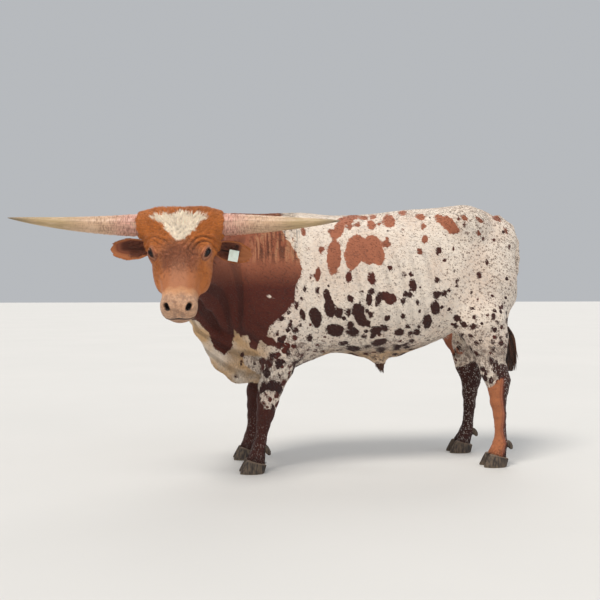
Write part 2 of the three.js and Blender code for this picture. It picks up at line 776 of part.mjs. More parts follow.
// One claw of a cloven hoof, from the flat sole up to the edge of the skin
function clawSolid(name, side) {
  const { x, height } = footPlane(name);
  const centreY = LEGS[name].y + side * (HOOF.split / 2 + HOOF.width / 2);
  const rings = HOOF.levels.map((t) => Array.from({ length: HOOF.sides }, (_, n) => {
    const angle = (2 * Math.PI * n) / HOOF.sides;
    const [c, s] = [Math.cos(angle), Math.sin(angle)];
    const size = t === 0 ? HOOF.sole : 1 - HOOF.narrowing * t;
    const inner = s * side < 0 ? HOOF.inner : 1;
    const toe = 1 - HOOF.toe * Math.max(c, 0);
    const px = x - HOOF.ahead + HOOF.slope * (t - 0.5) - c * (HOOF.length / 2) * size;
    const py = centreY + s * (HOOF.width / 2) * inner * size * toe;
    return [px, py - side * HOOF.leanIn * t, t * (height(px) - CUT)];
  }));
  return tubeThrough(rings);
}

function dewclawSolid(name, side, leg) {
  const { sections, y, foot } = LEGS[name];
  const x = sections[sections.length - 2][0] + foot;
  const start = [x, y + side * DEWCLAW.side, DEWCLAW.height];
  const spot = reach(legForms[name], start, [1, 0, 0]);
  const shape = new THREE.SphereGeometry(1, 7, 5);
  shape.scale(DEWCLAW.radius, DEWCLAW.radius * DEWCLAW.flat, DEWCLAW.length);
  shape.rotateY(DEWCLAW.lean);
  shape.translate(spot[0] + DEWCLAW.back, spot[1], spot[2] - DEWCLAW.down);
  return solidOf(shape).subtract(leg);
}

// Parts of the head, in the head's own axes
function eyePlace(side) {
  const start = [EYE.start[0], EYE.start[1] * side, EYE.start[2]];
  const way = [EYE.way[0], EYE.way[1] * side, EYE.way[2]];
  const spot = new THREE.Vector3(...reach(fleshInHead, start, way));
  const out = new THREE.Vector3(...slope(fleshInHead, ...spot.toArray())).normalize();
  return { centre: spot.clone().addScaledVector(out, -EYE.sink), out };
}
function ball(centre, radius) {
  const shape = new THREE.SphereGeometry(radius, 12, 9);
  return solidOf(shape.translate(...centre.toArray()));
}
function lidSolid(side) {
  const { centre, out } = eyePlace(side);
  const along = new THREE.Vector3(1, 0, 0).addScaledVector(out, -out.x).normalize();
  const across = new THREE.Vector3().crossVectors(out, along).normalize();
  const steps = LID.steps;
  const rings = [];
  for (let i = 0; i < steps; i++) {
    const angle = (2 * Math.PI * i) / steps;
    const [c, s] = [Math.cos(angle), Math.sin(angle)];
    const flat = c * (LID.length / 2);
    const rise = s * (LID.height / 2) * (1 - LID.corner * c * c);
    const depth = Math.sqrt(Math.max((EYE.radius + 1) ** 2 - flat * flat - rise * rise, 0));
    const middle = centre.clone().addScaledVector(along, flat).addScaledVector(across, rise);
    middle.addScaledVector(out, Math.max(depth, EYE.sink - 2));
    const away = along.clone().multiplyScalar(c).addScaledVector(across, s).normalize();
    const lie = away.clone().multiplyScalar(Math.cos(LID.tilt));
    lie.addScaledVector(out, -Math.sin(LID.tilt));
    const stand = out.clone().multiplyScalar(Math.cos(LID.tilt));
    stand.addScaledVector(away, Math.sin(LID.tilt));
    rings.push(ring(middle, lie, stand, LID.width / 2, LID.thickness / 2, LID.sides));
  }
  return loopThrough(rings);
}
// Closed loop through rings, the last ring joined to the first
function loopThrough(rings) {
  const count = rings[0].length;
  const faces = [];
  for (let i = 0; i < rings.length; i++) {
    for (let j = 0; j < count; j++) {
      const next = (j + 1) % count;
      const [low, high] = [i * count, ((i + 1) % rings.length) * count];
      faces.push(low + j, low + next, high + next, low + j, high + next, high + j);
    }
  }
  return outward(rings.flat(2), faces);
}
function nostrilSolid(side) {
  const start = [NOSTRIL.start[0], NOSTRIL.start[1] * side, NOSTRIL.start[2]];
  const [down, aside, forward] = NOSTRIL.way;
  const way = new THREE.Vector3(down, aside * side, forward).normalize();
  const spot = new THREE.Vector3(...reach(fleshInHead, start, way.toArray()));
  const shape = new THREE.SphereGeometry(1, 10, 8).scale(...NOSTRIL.radii);
  const turn = new THREE.Quaternion().setFromUnitVectors(new THREE.Vector3(0, 0, 1), way);
  const place = new THREE.Matrix4().makeRotationFromQuaternion(turn);
  place.multiply(new THREE.Matrix4().makeRotationZ(NOSTRIL.lean * side));
  return solidOf(shape, place.setPosition(spot.addScaledVector(way, -NOSTRIL.sink)));
}
function mouthSolid() {
  const rings = [];
  for (let i = 0; i <= MOUTH.steps; i++) {
    const angle = mix(-MOUTH.turn, MOUTH.turn, i / MOUTH.steps);
    const [c, s] = [Math.cos(angle), Math.sin(angle)];
    const w = mix(MOUTH.corner, MOUTH.front, Math.max(c, 0) ** 0.7);
    const at = (grow, lift) => [
      MOUTH.centre + (MOUTH.length + grow) * c,
      (MOUTH.half + grow) * s,
      w + lift,
    ];
    const half = MOUTH.gap / 2 + MOUTH.spread;
    rings.push([
      at(-MOUTH.depth, -MOUTH.inner), at(MOUTH.past, -half),
      at(MOUTH.past, half), at(-MOUTH.depth, MOUTH.inner),
    ]);
  }
  return tubeThrough(rings);
}
// Grid round the head in its own axes, finer over the eyes and the muzzle
const HEAD_GRID = [
  lines(-130, 500, 27, [[140, 200, 15], [350, 470, 15]]),
  lines(-230, 230, 23),
  lines(-290, 130, 24, [[-90, 70, 18]]),
];
function headSolid() {
  let solid = solidFrom(skinOver(fleshInHead, HEAD_GRID));
  const reachY = YOKE.reach - CUT;
  solid = solid.intersect(block([-FAR, -reachY, -FAR], [FAR, reachY, FAR]));
  const back = HEAD_FORWARD.clone().transformDirection(HEAD_INVERSE).toArray();
  const middle = HEAD_CUT_POINT.clone().applyMatrix4(HEAD_INVERSE).toArray();
  solid = solid.subtract(halfSpace(shifted(middle, back, CUT), back));
  for (const side of [-1, 1]) {
    solid = solid.add(lidSolid(side));
    solid = solid.subtract(ball(eyePlace(side).centre, EYE.radius + GAP));
    solid = solid.subtract(nostrilSolid(side));
  }
  return solid.subtract(mouthSolid());
}

function hornSolid(side) {
  const size = side > 0 ? HORN.left : HORN.right;
  const pitch = THREE.MathUtils.degToRad(HEAD_PITCH);
  const tip = new THREE.Vector3(
    YOKE.place + size.forward * Math.sin(pitch) - size.up * Math.cos(pitch),
    side * (YOKE.reach + size.reach),
    size.forward * Math.cos(pitch) + size.up * Math.sin(pitch),
  );
  const root = new THREE.Vector3(YOKE.place, side * (YOKE.reach + CUT), 0);
  const bend = new THREE.Vector3(
    YOKE.place + HORN.bend.down,
    side * (YOKE.reach + size.reach * HORN.bend.at),
    HORN.bend.out,
  );
  const curve = new THREE.QuadraticBezierCurve3(root, bend, tip);
  const rings = [];
  for (let i = 0; i < HORN.steps; i++) {
    const t = (i / HORN.steps) * HORN.last;
    const way = i ? curve.getTangent(t) : new THREE.Vector3(0, side, 0);
    const across = new THREE.Vector3(1, 0, 0).addScaledVector(way, -way.x).normalize();
    const out = new THREE.Vector3().crossVectors(way, across);
    const radius = HORN.base * (1 - t) ** HORN.power;
    rings.push(ring(curve.getPoint(t), across, out, radius, radius * HORN.flatness, HORN.sides));
  }
  rings.push(ring(curve.getPoint(1), new THREE.Vector3(1, 0, 0),
    new THREE.Vector3(0, 0, side), HORN.tip, HORN.tip, HORN.sides));
  return tubeThrough(rings);
}

function earFrame(side) {
  const way = new THREE.Vector3(...(side > 0 ? EAR_WAY.left : EAR_WAY.right)).normalize();
  const back = HEAD_FORWARD.clone().transformDirection(HEAD_INVERSE);
  const face = back.clone().addScaledVector(way, -back.dot(way)).normalize();
  const across = new THREE.Vector3().crossVectors(face, way).normalize();
  const root = new THREE.Vector3(EAR.root[0], EAR.root[1] * side, EAR.root[2]);
  return { way, face, across, root };
}
// One cupped leaf: an outer arc and an inner arc at each step from the root to the tip
function earSolid(side) {
  const { way, face, across, root } = earFrame(side);
  const rings = [];
  for (let i = 0; i <= EAR.steps; i++) {
    const t = i / EAR.steps;
    const leaf = t < 0.5
      ? mix(EAR.rootWidth, 1, Math.sin(Math.PI * t))
      : Math.sqrt(1 - (2 * t - 1) ** 2 * EAR.tipTaper);
    const half = (EAR.width / 2) * leaf;
    const open = mix(EAR.rootOpen, EAR.tipOpen, t);
    const radius = half / Math.sin(open);
    const centre = root.clone().addScaledVector(way, EAR.length * t);
    centre.addScaledVector(face, radius * Math.cos(open));
    const at = (angle, r) => centre.clone().addScaledVector(across, Math.sin(angle) * r)
      .addScaledVector(face, -Math.cos(angle) * r).toArray();
    const points = [];
    for (let n = 0; n < EAR.sides; n++) {
      points.push(at(mix(-open, open, n / (EAR.sides - 1)), radius));
    }
    for (let n = EAR.sides - 1; n >= 0; n--) {
      const angle = mix(-open, open, n / (EAR.sides - 1));
      const thin = (1 - EAR.thinRim * (angle / open) ** 2) * (1 - EAR.thinTip * t);
      points.push(at(angle * EAR.inside, radius - EAR.thickness * thin));
    }
    rings.push(points);
  }
  return tubeThrough(rings);
}
function tagSolid(grow) {
  const { way, face, across, root } = earFrame(1);
  const half = EAR.width / 2;
  const spot = root.clone().addScaledVector(way, EAR.length * TAG.along);
  const stemEnds = [half * TAG.behind, half * TAG.ahead];
  const along = new THREE.Matrix4().makeBasis(way, across, face).setPosition(spot);
  const stem = new THREE.CylinderGeometry(
    TAG.stem + grow, TAG.stem + grow, stemEnds[1] - stemEnds[0], 8,
  ).rotateX(Math.PI / 2).translate(0, 0, (stemEnds[0] + stemEnds[1]) / 2);
  const stud = new THREE.CylinderGeometry(
    TAG.stud + grow, TAG.stud + grow, TAG.studThickness + 2 * grow, 12,
  ).rotateX(Math.PI / 2).translate(0, 0, stemEnds[0]);
  const plate = new THREE.BoxGeometry(
    TAG.width + 2 * grow, TAG.height + 2 * grow, TAG.thickness + 2 * grow,
  ).translate(0, -TAG.height * TAG.hang, stemEnds[1]);
  return joined([stem, stud, plate].map((shape) => solidOf(shape, along)));
}

function curveOf(stations) {
  return new THREE.CatmullRomCurve3(stations.map(([x, z]) => new THREE.Vector3(x, 0, z)));
}
function tailSolid(body) {
  const curve = curveOf(TAIL);
  const { steps, sides, flat } = TAIL_FORM;
  const sideWay = new THREE.Vector3(0, 1, 0);
  const rings = [];
  for (let i = 0; i <= steps; i++) {
    const t = i / steps;
    const way = curve.getTangent(t);
    const out = new THREE.Vector3().crossVectors(way, sideWay);
    const place = t * (TAIL.length - 1);
    const low = Math.min(Math.floor(place), TAIL.length - 2);
    const radius = mix(TAIL[low][2], TAIL[low + 1][2], place - low);
    rings.push(ring(curve.getPoint(t), sideWay, out, radius, radius * flat, sides));
  }
  const tube = tubeThrough(rings);
  return tube.subtract(body).intersect(halfSpace([0, 0, SWITCH.top + CUT], [0, 0, -1]));
}
function switchSolid() {
  const { top, bottom, x, tipX, core, locks, spread } = SWITCH;
  const coreRings = core.map(([drop, radius]) => {
    const t = drop / (top - bottom);
    const centre = new THREE.Vector3(mix(x, tipX, t * t), 0, top - drop);
    return ring(centre, new THREE.Vector3(1, 0, 0), new THREE.Vector3(0, 1, 0), radius, radius, 8);
  });
  let solid = tubeThrough(coreRings);
  for (let n = 0; n < locks; n++) {
    const angle = n * SWITCH.turn;
    const start = top - SWITCH.first - SWITCH.last * (n / locks);
    const end = bottom + SWITCH.ragged * draw(n + 3) * (n % 3 ? 1 : 0.1);
    const [c, s] = [Math.cos(angle), Math.sin(angle)];
    const at = (t, far) => {
      const z = mix(start, end, t);
      const down = (top - z) / (top - bottom);
      return new THREE.Vector3(mix(x, tipX, down * down) + c * far, s * far * SWITCH.flat, z);
    };
    const wide = spread * (0.75 + 0.35 * draw(n));
    const points = [at(0, 6), at(0.25, wide * 0.62), at(0.6, wide), at(1, wide * 0.5)];
    solid = solid.add(lock(points, SWITCH.width, SWITCH.thickness, [c, s, 0.1]));
  }
  return solid;
}
function sheathSolid(body) {
  const { front, tip, flat, steps, sides, locks, hair, ragged } = SHEATH;
  const way = new THREE.Vector3(tip[0] - front[0], 0, tip[1] - front[1]).normalize();
  const sideWay = new THREE.Vector3(0, 1, 0);
  const out = new THREE.Vector3().crossVectors(way, sideWay);
  const rings = [];
  for (let i = 0; i <= steps; i++) {
    const t = i / steps;
    const centre = new THREE.Vector3(mix(front[0], tip[0], t), 0, mix(front[1], tip[1], t));
    const radius = mix(front[2], tip[2], t) * Math.sqrt(1 - (2 * t - 1) ** 8 * 0.55);
    rings.push(ring(centre, sideWay, out, radius * flat, radius, sides));
  }
  let solid = tubeThrough(rings);
  for (let n = 0; n < locks; n++) {
    const angle = (n / locks) * 2 * Math.PI;
    const [c, s] = [Math.cos(angle), Math.sin(angle)];
    const at = (t) => new THREE.Vector3(
      tip[0] - 14 + 22 * t + c * 10 * (1 - 0.5 * t),
      s * 9 * (1 - 0.4 * t),
      tip[1] + ragged - (hair + ragged - ragged * draw(n)) * t,
    );
    const points = [at(0), at(0.35), at(0.7), at(1)];
    solid = solid.add(lock(points, SHEATH.width, SHEATH.thickness, [c, s, 0.2]));
  }
  return solid.subtract(body);
}
function scrotumSolid(body) {
  const { x, z, radii, neck, neckRise, steps, sides } = SCROTUM;
  const rings = [];
  for (let i = 0; i <= steps; i++) {
    const t = i / steps;
    const angle = Math.PI * mix(0.04, 0.9, t);
    const bulb = Math.sin(angle);
    const size = Math.max(bulb, t > 0.5 ? neck / radii[0] : 0);
    const rise = t > 0.8 ? neckRise : 0;
    const centre = new THREE.Vector3(x, 0, z - radii[2] * Math.cos(angle) + rise);
    rings.push(ring(centre, new THREE.Vector3(1, 0, 0), new THREE.Vector3(0, 1, 0),
      radii[0] * size, radii[1] * size, sides));
  }
  return tubeThrough(rings).subtract(body);
}

// The whole animal
function buildBull() {
  const bull = new THREE.Group();
  const trunkMesh = trunkSolid();
  bull.add(meshOf('torso', trunkMesh, COLOURS.coat));
  bull.add(meshOf('neck', neckSolid(), COLOURS.brown));
  const trunkNear = solidFrom(skinOver(flesh, TRUNK_GRID, SKIN_GAP)).add(trunkMesh);
  for (const name of Object.keys(LEGS)) {
    const leg = legSolid(name);
    const legNear = legSolid(name, SKIN_GAP).add(leg);
    bull.add(meshOf(name, leg, COLOURS.dark));
    const outer = Math.sign(LEGS[name].y);
    for (const [label, side] of [['outer', outer], ['inner', -outer]]) {
      const where = name.replace('leg', label);
      bull.add(meshOf(`hoof_${where}`, clawSolid(name, side), COLOURS.hoof, 0.5));
      bull.add(meshOf(`dewclaw_${where}`, dewclawSolid(name, side, legNear), COLOURS.hoof, 0.5));
    }
  }
  const tail = tailSolid(trunkNear);
  bull.add(meshOf('tail', tail, COLOURS.coat));
  bull.add(meshOf('tail_switch', switchSolid(), COLOURS.hair));
  bull.add(meshOf('sheath', sheathSolid(trunkNear), COLOURS.skin));
  bull.add(meshOf('scrotum', scrotumSolid(trunkNear), COLOURS.skin));

  const head = new THREE.Group();
  head.matrixAutoUpdate = false;
  head.matrix.copy(HEAD_MATRIX);
  const headMesh = headSolid();
  head.add(meshOf('head', headMesh, COLOURS.brown));
  for (const [label, side] of [['left', 1], ['right', -1]]) {
    head.add(meshOf(`eye_${label}`, ball(eyePlace(side).centre, EYE.radius), COLOURS.eye, 0.1));
    head.add(meshOf(`horn_${label}`, hornSolid(side), COLOURS.horn, 0.6));
    let ear = earSolid(side).subtract(headMesh);
    if (side > 0) ear = ear.subtract(tagSolid(GAP));
    head.add(meshOf(`ear_${label}`, ear, COLOURS.brown));
  }
  head.add(meshOf('ear_tag', tagSolid(0), COLOURS.tag, 0.4));
  bull.add(head);
  return bull;
}

const bull = buildBull();
bull.updateMatrixWorld(true);
const box = new THREE.Box3().setFromObject(bull, true);
const centre = box.getCenter(new THREE.Vector3());
bull.position.set(-centre.x, -centre.y, 0);
bull.updateMatrixWorld(true);

export default bull;
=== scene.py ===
import math

import bmesh
import bpy
import numpy as np
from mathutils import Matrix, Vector


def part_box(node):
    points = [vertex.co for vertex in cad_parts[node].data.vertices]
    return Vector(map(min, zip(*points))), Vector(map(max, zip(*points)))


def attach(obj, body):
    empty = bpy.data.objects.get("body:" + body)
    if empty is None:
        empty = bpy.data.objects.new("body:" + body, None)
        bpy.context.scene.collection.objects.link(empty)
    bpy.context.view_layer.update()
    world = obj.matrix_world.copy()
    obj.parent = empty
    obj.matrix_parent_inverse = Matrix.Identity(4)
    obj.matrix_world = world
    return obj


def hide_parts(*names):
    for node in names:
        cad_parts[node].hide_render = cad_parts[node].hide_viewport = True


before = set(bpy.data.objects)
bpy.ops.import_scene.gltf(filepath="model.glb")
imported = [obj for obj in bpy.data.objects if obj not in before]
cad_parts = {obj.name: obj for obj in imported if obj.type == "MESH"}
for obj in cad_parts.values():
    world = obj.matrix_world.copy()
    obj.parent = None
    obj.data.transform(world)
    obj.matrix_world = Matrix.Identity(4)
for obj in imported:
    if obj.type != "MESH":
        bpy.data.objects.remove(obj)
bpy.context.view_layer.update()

MM = 0.001
FAR = 3000.0
SCROTUM_X = 884.0
low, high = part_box("scrotum")
# Draft millimetres are moved by this to reach the frame of the solids
SHIFT = np.array([(low[0] + high[0]) / 2 / MM - SCROTUM_X, (low[1] + high[1]) / 2 / MM, 0.0])

# Trunk sections: place along X, top, bottom, half width, widest height
TRUNK = [
    (-330, 1262, 470, 150, 800), (-230, 1288, 452, 205, 850), (-110, 1315, 480, 244, 880),
    (30, 1332, 548, 266, 900), (200, 1333, 598, 284, 900), (380, 1343, 588, 292, 900),
    (560, 1366, 598, 286, 925), (720, 1378, 640, 268, 975), (850, 1392, 700, 248, 1040),
    (950, 1386, 735, 226, 1060), (1060, 1360, 760, 196, 1060), (1180, 1322, 800, 150, 1060),
]
TRUNK_SQUARENESS = 2.25
CHEST_END = ((-405, 0, 820), (-0.97, 0, -0.24), 170)
RUMP_END = ((1172, 0, 1100), (0.98, 0, 0.2), 150)
NECK = [
    (-60, 0, 950, 225, 1.45), (-270, -20, 975, 188, 1.66), (-430, -95, 1030, 158, 1.68),
    (-545, -240, 1078, 136, 1.62), (-600, -370, 1092, 126, 1.5),
]
CREST = [(-500, -165, 1254, 60), (-340, -45, 1252, 62), (-150, 0, 1226, 70)]
DEWLAP = [
    (-560, -215, 842, 52), (-520, -110, 740, 48), (-462, -60, 640, 50), (-410, -25, 560, 58),
    (-330, 0, 505, 66), (-210, 0, 520, 74),
]
BELLY_FOLD = [
    (210, 0, 655, 44), (330, 0, 628, 46), (425, 0, 596, 48), (520, 0, 622, 45),
    (650, 0, 680, 40),
]
# Legs: place along X, height, front-to-back radius, side thickness over that radius
FORE_LEG = [
    (-118, 640, 98, 0.72), (-138, 540, 84, 0.72), (-176, 440, 67, 0.74), (-192, 372, 60, 0.86),
    (-205, 294, 48, 0.86), (-216, 240, 38, 0.86), (-228, 165, 32, 1), (-236, 126, 39, 1.12),
    (-252, 66, 48, 1.14),
]
HIND_LEG = [
    (945, 745, 138, 0.66), (972, 676, 116, 0.64), (988, 610, 88, 0.7), (992, 560, 76, 0.68),
    (1008, 505, 76, 0.6), (1030, 450, 70, 0.62), (1032, 405, 57, 0.76), (1031, 340, 46, 0.8),
    (1040, 270, 37, 0.88), (1045, 160, 33, 1), (1044, 122, 40, 1.12), (1026, 64, 48, 1.14),
]
# Each leg: sections, side offset, shift of its knee or hock and of its foot along X
LEGS = {
    "fore_left": (FORE_LEG, -186, 0, 0),
    "fore_right": (FORE_LEG, 178, -24, -6),
    "hind_left": (HIND_LEG, -200, 0, 0),
    "hind_right": (HIND_LEG, 206, -8, -62),
}
KNEE_HEIGHT, LEG_TOP = 380, 640
HOOF = {"front": 78, "back": 44, "length": 126, "width": 60, "split": 8, "slope": 26}
DEWCLAW = {"height": 118, "side": 25, "length": 27, "radius": 14}
# Muscles and bones on one side: centre, radii, lean in degrees, how softly it joins
MUSCLES = [
    ((-150, 176, 1010), (130, 80, 270), -14, 70), ((-205, 158, 760), (120, 88, 130), 0, 70),
    ((-85, 178, 690), (95, 78, 120), 0, 50), ((850, 168, 1290), (120, 82, 86), 0, 90),
    ((1082, 92, 1200), (88, 66, 88), 0, 80), ((985, 132, 930), (150, 100, 270), -10, 80),
    ((884, 166, 815), (100, 76, 130), 20, 70),
]
FLANK_HOLLOW = ((700, 330, 1120), (95, 62, 120), 20, 60)
SHOULDER_HOLLOW = ((30, 330, 1150), (60, 62, 190), -8, 60)
TAIL = [
    (1098, 1308, 40), (1163, 1266, 36), (1196, 1190, 31), (1206, 1105, 27), (1202, 1035, 24),
    (1186, 955, 21), (1164, 860, 19), (1152, 790, 17), (1150, 735, 15), (1152, 650, 9),
    (1160, 590, 4),
]
SHEATH = [(392, 0, 600, 42), (430, 0, 562, 33), (449, 0, 534, 22)]
SCROTUM = ((SCROTUM_X, 0, 652), (42, 54, 78))

# Head: local u runs down the face, v to the animal's left, w out of the forehead
HEAD_ORIGIN = np.array([-624.0, -520.0, 1235.0])
HEAD_YAW, HEAD_PITCH, HEAD_ROLL = math.radians(83), math.radians(25), math.radians(0.6)
SKULL = [
    (-90, 4, -110, 104, -46), (-30, 46, -135, 146, -38), (50, 60, -165, 160, -34),
    (130, 60, -188, 149, -34), (195, 54, -192, 132, -48), (260, 46, -174, 110, -56),
    (320, 40, -146, 91, -50), (385, 36, -116, 77, -40), (480, 30, -98, 72, -36),
]
SKULL_SQUARENESS = 2.35
SKULL_ENDS = [
    ((-74, 0, 0), (-1, 0, 0.1), 60), ((372, 0, 42), (0.61, 0, 0.79), 40),
    ((460, 0, -60), (0.97, 0, -0.24), 36),
]
YOKE = {"place": 4, "reach": 200, "radius": 57, "round": 55}
FACE = [
    ((150, 112, 14), (62, 34, 40), 0, 30), ((215, 92, -104), (80, 38, 78), -20, 44),
    ((408, 34, -14), (46, 46, 46), 0, 30), ((414, 0, -80), (44, 50, 28), -8, 22),
    ((100, 140, -46), (34, 30, 34), 0, 26),
]
TEMPLE_HOLLOW = ((112, 196, 14), (34, 42, 34), 0, 24)
CHEEK_HOLLOW = ((310, 140, -20), (60, 46, 36), 0, 30)
EYE = {"start": (168, 40, -8), "way": (0.06, 0.84, 0.54), "radius": 23.0, "sink": 15.0}
LID = {"long": 19.0, "high": 9.0, "thick": 5.0, "slant": 0.45}
NOSTRIL = {
    "start": (386, 30, -34), "way": (0.6, 0.26, 0.76), "radii": (20, 12, 26), "lean": -0.45,
}
MOUTH = {"centre": 362, "length": 98, "half": 74, "front": -42, "corner": -62}
# How far out the hair of the poll reaches to each side before the horn begins
HAIR_END = {1: 192.0, -1: 203.0}
HORN = {
    "base": 56, "flatness": 0.94, "power": 0.72,
    1: {"reach": 528, "forward": 104, "up": 5}, -1: {"reach": 566, "forward": 118, "up": 30},
}
EAR = {"root": (103, 142, -46), "length": 186, "width": 98, "thickness": 7}
EAR_WAY = {1: (0.05, 0.9, -0.3), -1: (0.02, -0.97, 0.02)}

SIDES = {1: "left", -1: "right"}

# Depth of the coat over the skin
COAT_BODY, COAT_FACE, COAT_MUZZLE = 4.5, 2.5, 0.6


# Signed distances and their smooth joins
def blend(a, b, soft):
    overlap = np.maximum(soft - np.abs(a - b), 0) / soft
    return np.minimum(a, b) - overlap * overlap * soft * 0.25


def carve(a, b, soft):
    return -blend(-a, -b, soft)


def mix(a, b, t):
    return a + (b - a) * t


def smooth_step(low, high, value):
    t = np.clip((value - low) / (high - low), 0, 1)
    return t * t * (3 - 2 * t)


def bump_at(value, centre, width):
    return np.exp(-(((value - centre) / width) ** 2))


def rods(stations, soft=30):
    """A rod through stations of centre and radius, stretched in height by a fifth value."""

    def form(x, y, z):
        best = np.full(np.shape(x), FAR)
        for a, b in zip(stations, stations[1:]):
            way = np.subtract(b[:3], a[:3])
            along = (x - a[0]) * way[0] + (y - a[1]) * way[1] + (z - a[2]) * way[2]
            t = np.clip(along / (way @ way), 0, 1)
            stretch = mix(a[4], b[4], t) if len(a) > 4 else 1
            dx, dy = x - a[0] - way[0] * t, y - a[1] - way[1] * t
            dz = (z - a[2] - way[2] * t) / stretch
            d = np.sqrt(dx * dx + dy * dy + dz * dz) - mix(a[3], b[3], t)
            best = blend(best, d, soft)
        return best

    return form


def egg(x, y, z, centre, radii, lean=0):
    c, s = math.cos(math.radians(lean)), math.sin(math.radians(lean))
    dx, dy, dz = x - centre[0], y - centre[1], z - centre[2]
    along, across = dx * c + dz * s, dz * c - dx * s
    q = np.sqrt((along / radii[0]) ** 2 + (dy / radii[1]) ** 2 + (across / radii[2]) ** 2)
    length = np.sqrt(dx * dx + dy * dy + dz * dz)
    return np.where(q < 0.02, -min(radii), length * (1 - 1 / np.maximum(q, 0.02)))


def end_plane(x, y, z, point, normal):
    return (x - point[0]) * normal[0] + (y - point[1]) * normal[1] + (z - point[2]) * normal[2]


def section_at(table, place):
    """Each column of a table at a place, on a smooth curve through its rows."""
    rows = np.array(table, float)
    keys = rows[:, 0]
    last = len(keys) - 1
    place = np.clip(place, keys[0], keys[last])
    i = np.clip(np.searchsorted(keys, place) - 1, 0, last - 1)
    before, after = np.maximum(i - 1, 0), np.minimum(i + 2, last)
    width = keys[i + 1] - keys[i]
    t = (place - keys[i]) / width
    t2, t3 = t * t, t * t * t
    columns = []
    for v in rows.T[1:]:
        m1 = (v[i + 1] - v[before]) * width / (keys[i + 1] - keys[before])
        m2 = (v[after] - v[i]) * width / (keys[after] - keys[i])
        columns.append((2 * t3 - 3 * t2 + 1) * v[i] + (t3 - 2 * t2 + t) * m1
                       + (3 * t2 - 2 * t3) * v[i + 1] + (t3 - t2) * m2)
    return columns


def loft(table, squareness, along, side, up):
    top, bottom, half, middle = section_at(table, along)
    height = np.where(up > middle, top - middle, middle - bottom)
    across, rise = np.abs(side) / half, np.abs(up - middle) / height
    q = (across ** squareness + rise ** squareness) ** (1 / squareness)
    length = np.hypot(side, up - middle)
    return np.where(q < 0.05, -np.minimum(half, height), length * (1 - 1 / np.maximum(q, 0.05)))


def leg_stations(name):
    sections, _, middle, foot = LEGS[name]
    stations = []
    for x, z, radius, flat in sections:
        lower = np.clip((KNEE_HEIGHT - z) / KNEE_HEIGHT, 0, 1)
        upper = np.clip((LEG_TOP - z) / (LEG_TOP - KNEE_HEIGHT), 0, 1)
        stations.append((x + middle * upper * (1 - lower) + foot * lower, z, radius, flat))
    return stations


def leg_form(name, x, y, z):
    stations = leg_stations(name)
    best = np.full(np.shape(x), FAR)
    for a, b in zip(stations, stations[1:]):
        ex, ez = b[0] - a[0], b[1] - a[1]
        t = np.clip(((x - a[0]) * ex + (z - a[1]) * ez) / (ex * ex + ez * ez), 0, 1)
        side = (y - LEGS[name][1]) / mix(a[3], b[3], t)
        dx, dz = x - a[0] - ex * t, z - a[1] - ez * t
        d = np.sqrt(dx * dx + side * side + dz * dz) - mix(a[2], b[2], t)
        best = blend(best, d, 12)
    return best


neck_form, crest_form, dewlap_form = rods(NECK), rods(CREST), rods(DEWLAP)
fold_form, sheath_form = rods(BELLY_FOLD), rods(SHEATH)
tail_form = rods([(x, 0, z, radius) for x, z, radius in TAIL], 10)
yoke_form = rods([
    (YOKE["place"], -YOKE["reach"] - 20, 0, YOKE["radius"]),
    (YOKE["place"] - 8, -100, 2, YOKE["radius"] + 8),
    (YOKE["place"] - 8, 100, 2, YOKE["radius"] + 8),
    (YOKE["place"], YOKE["reach"] + 20, 0, YOKE["radius"]),
])


def trunk(x, y, z):
    side = np.abs(y)
    d = blend(loft(TRUNK, TRUNK_SQUARENESS, x, y, z), fold_form(x, y, z), 60)
    for point, normal, soft in (CHEST_END, RUMP_END):
        d = carve(d, end_plane(x, y, z, point, normal), soft)
    for centre, radii, lean, soft in MUSCLES:
        d = blend(d, egg(x, side, z, centre, radii, lean), soft)
    for centre, radii, lean, soft in (FLANK_HOLLOW, SHOULDER_HOLLOW):
        d = carve(d, -egg(x, side, z, centre, radii, lean), soft)
    return d


def skull(u, v, w):
    side = np.abs(v)
    d = loft(SKULL, SKULL_SQUARENESS, u, v, w)
    for point, normal, soft in SKULL_ENDS:
        d = carve(d, end_plane(u, v, w, point, normal), soft)
    d = blend(d, yoke_form(u, v, w), YOKE["round"])
    for centre, radii, lean, soft in FACE:
        d = blend(d, egg(u, side, w, centre, radii, lean), soft)
    for centre, radii, lean, soft in (TEMPLE_HOLLOW, CHEEK_HOLLOW):
        d = carve(d, -egg(u, side, w, centre, radii, lean), soft)
    return d


def turned(vector, axis, angle):
    """A vector turned about a unit axis."""
    c, s = math.cos(angle), math.sin(angle)
    return vector * c + np.cross(axis, vector) * s + axis * (axis @ vector) * (1 - c)


def unit(vectors):
    return vectors / np.maximum(np.linalg.norm(vectors, axis=-1, keepdims=True), 1e-9)


FORWARD = np.array([-math.cos(HEAD_YAW), -math.sin(HEAD_YAW), 0.0])
UP = np.array([0.0, 0.0, 1.0])
DOWN_FACE = turned(FORWARD * math.sin(HEAD_PITCH) - UP * math.cos(HEAD_PITCH), FORWARD, HEAD_ROLL)
LEFT = turned(np.cross(UP, FORWARD), FORWARD, HEAD_ROLL)
HEAD_AXES = np.array([DOWN_FACE, LEFT, np.cross(DOWN_FACE, LEFT)])


def to_head(x, y, z):
    rel = (x - HEAD_ORIGIN[0], y - HEAD_ORIGIN[1], z - HEAD_ORIGIN[2])
    return [axis[0] * rel[0] + axis[1] * rel[1] + axis[2] * rel[2] for axis in HEAD_AXES]


def by_head(u, v, w, half, wide, low, middle=190):
    """Whether each place is by the head: near its middle, not far to a side, above a depth."""
    return (np.abs(u - middle) < half) & (np.abs(v) < wide) & (w > low)


def from_head(points):
    return np.asarray(points, float) @ HEAD_AXES + HEAD_ORIGIN


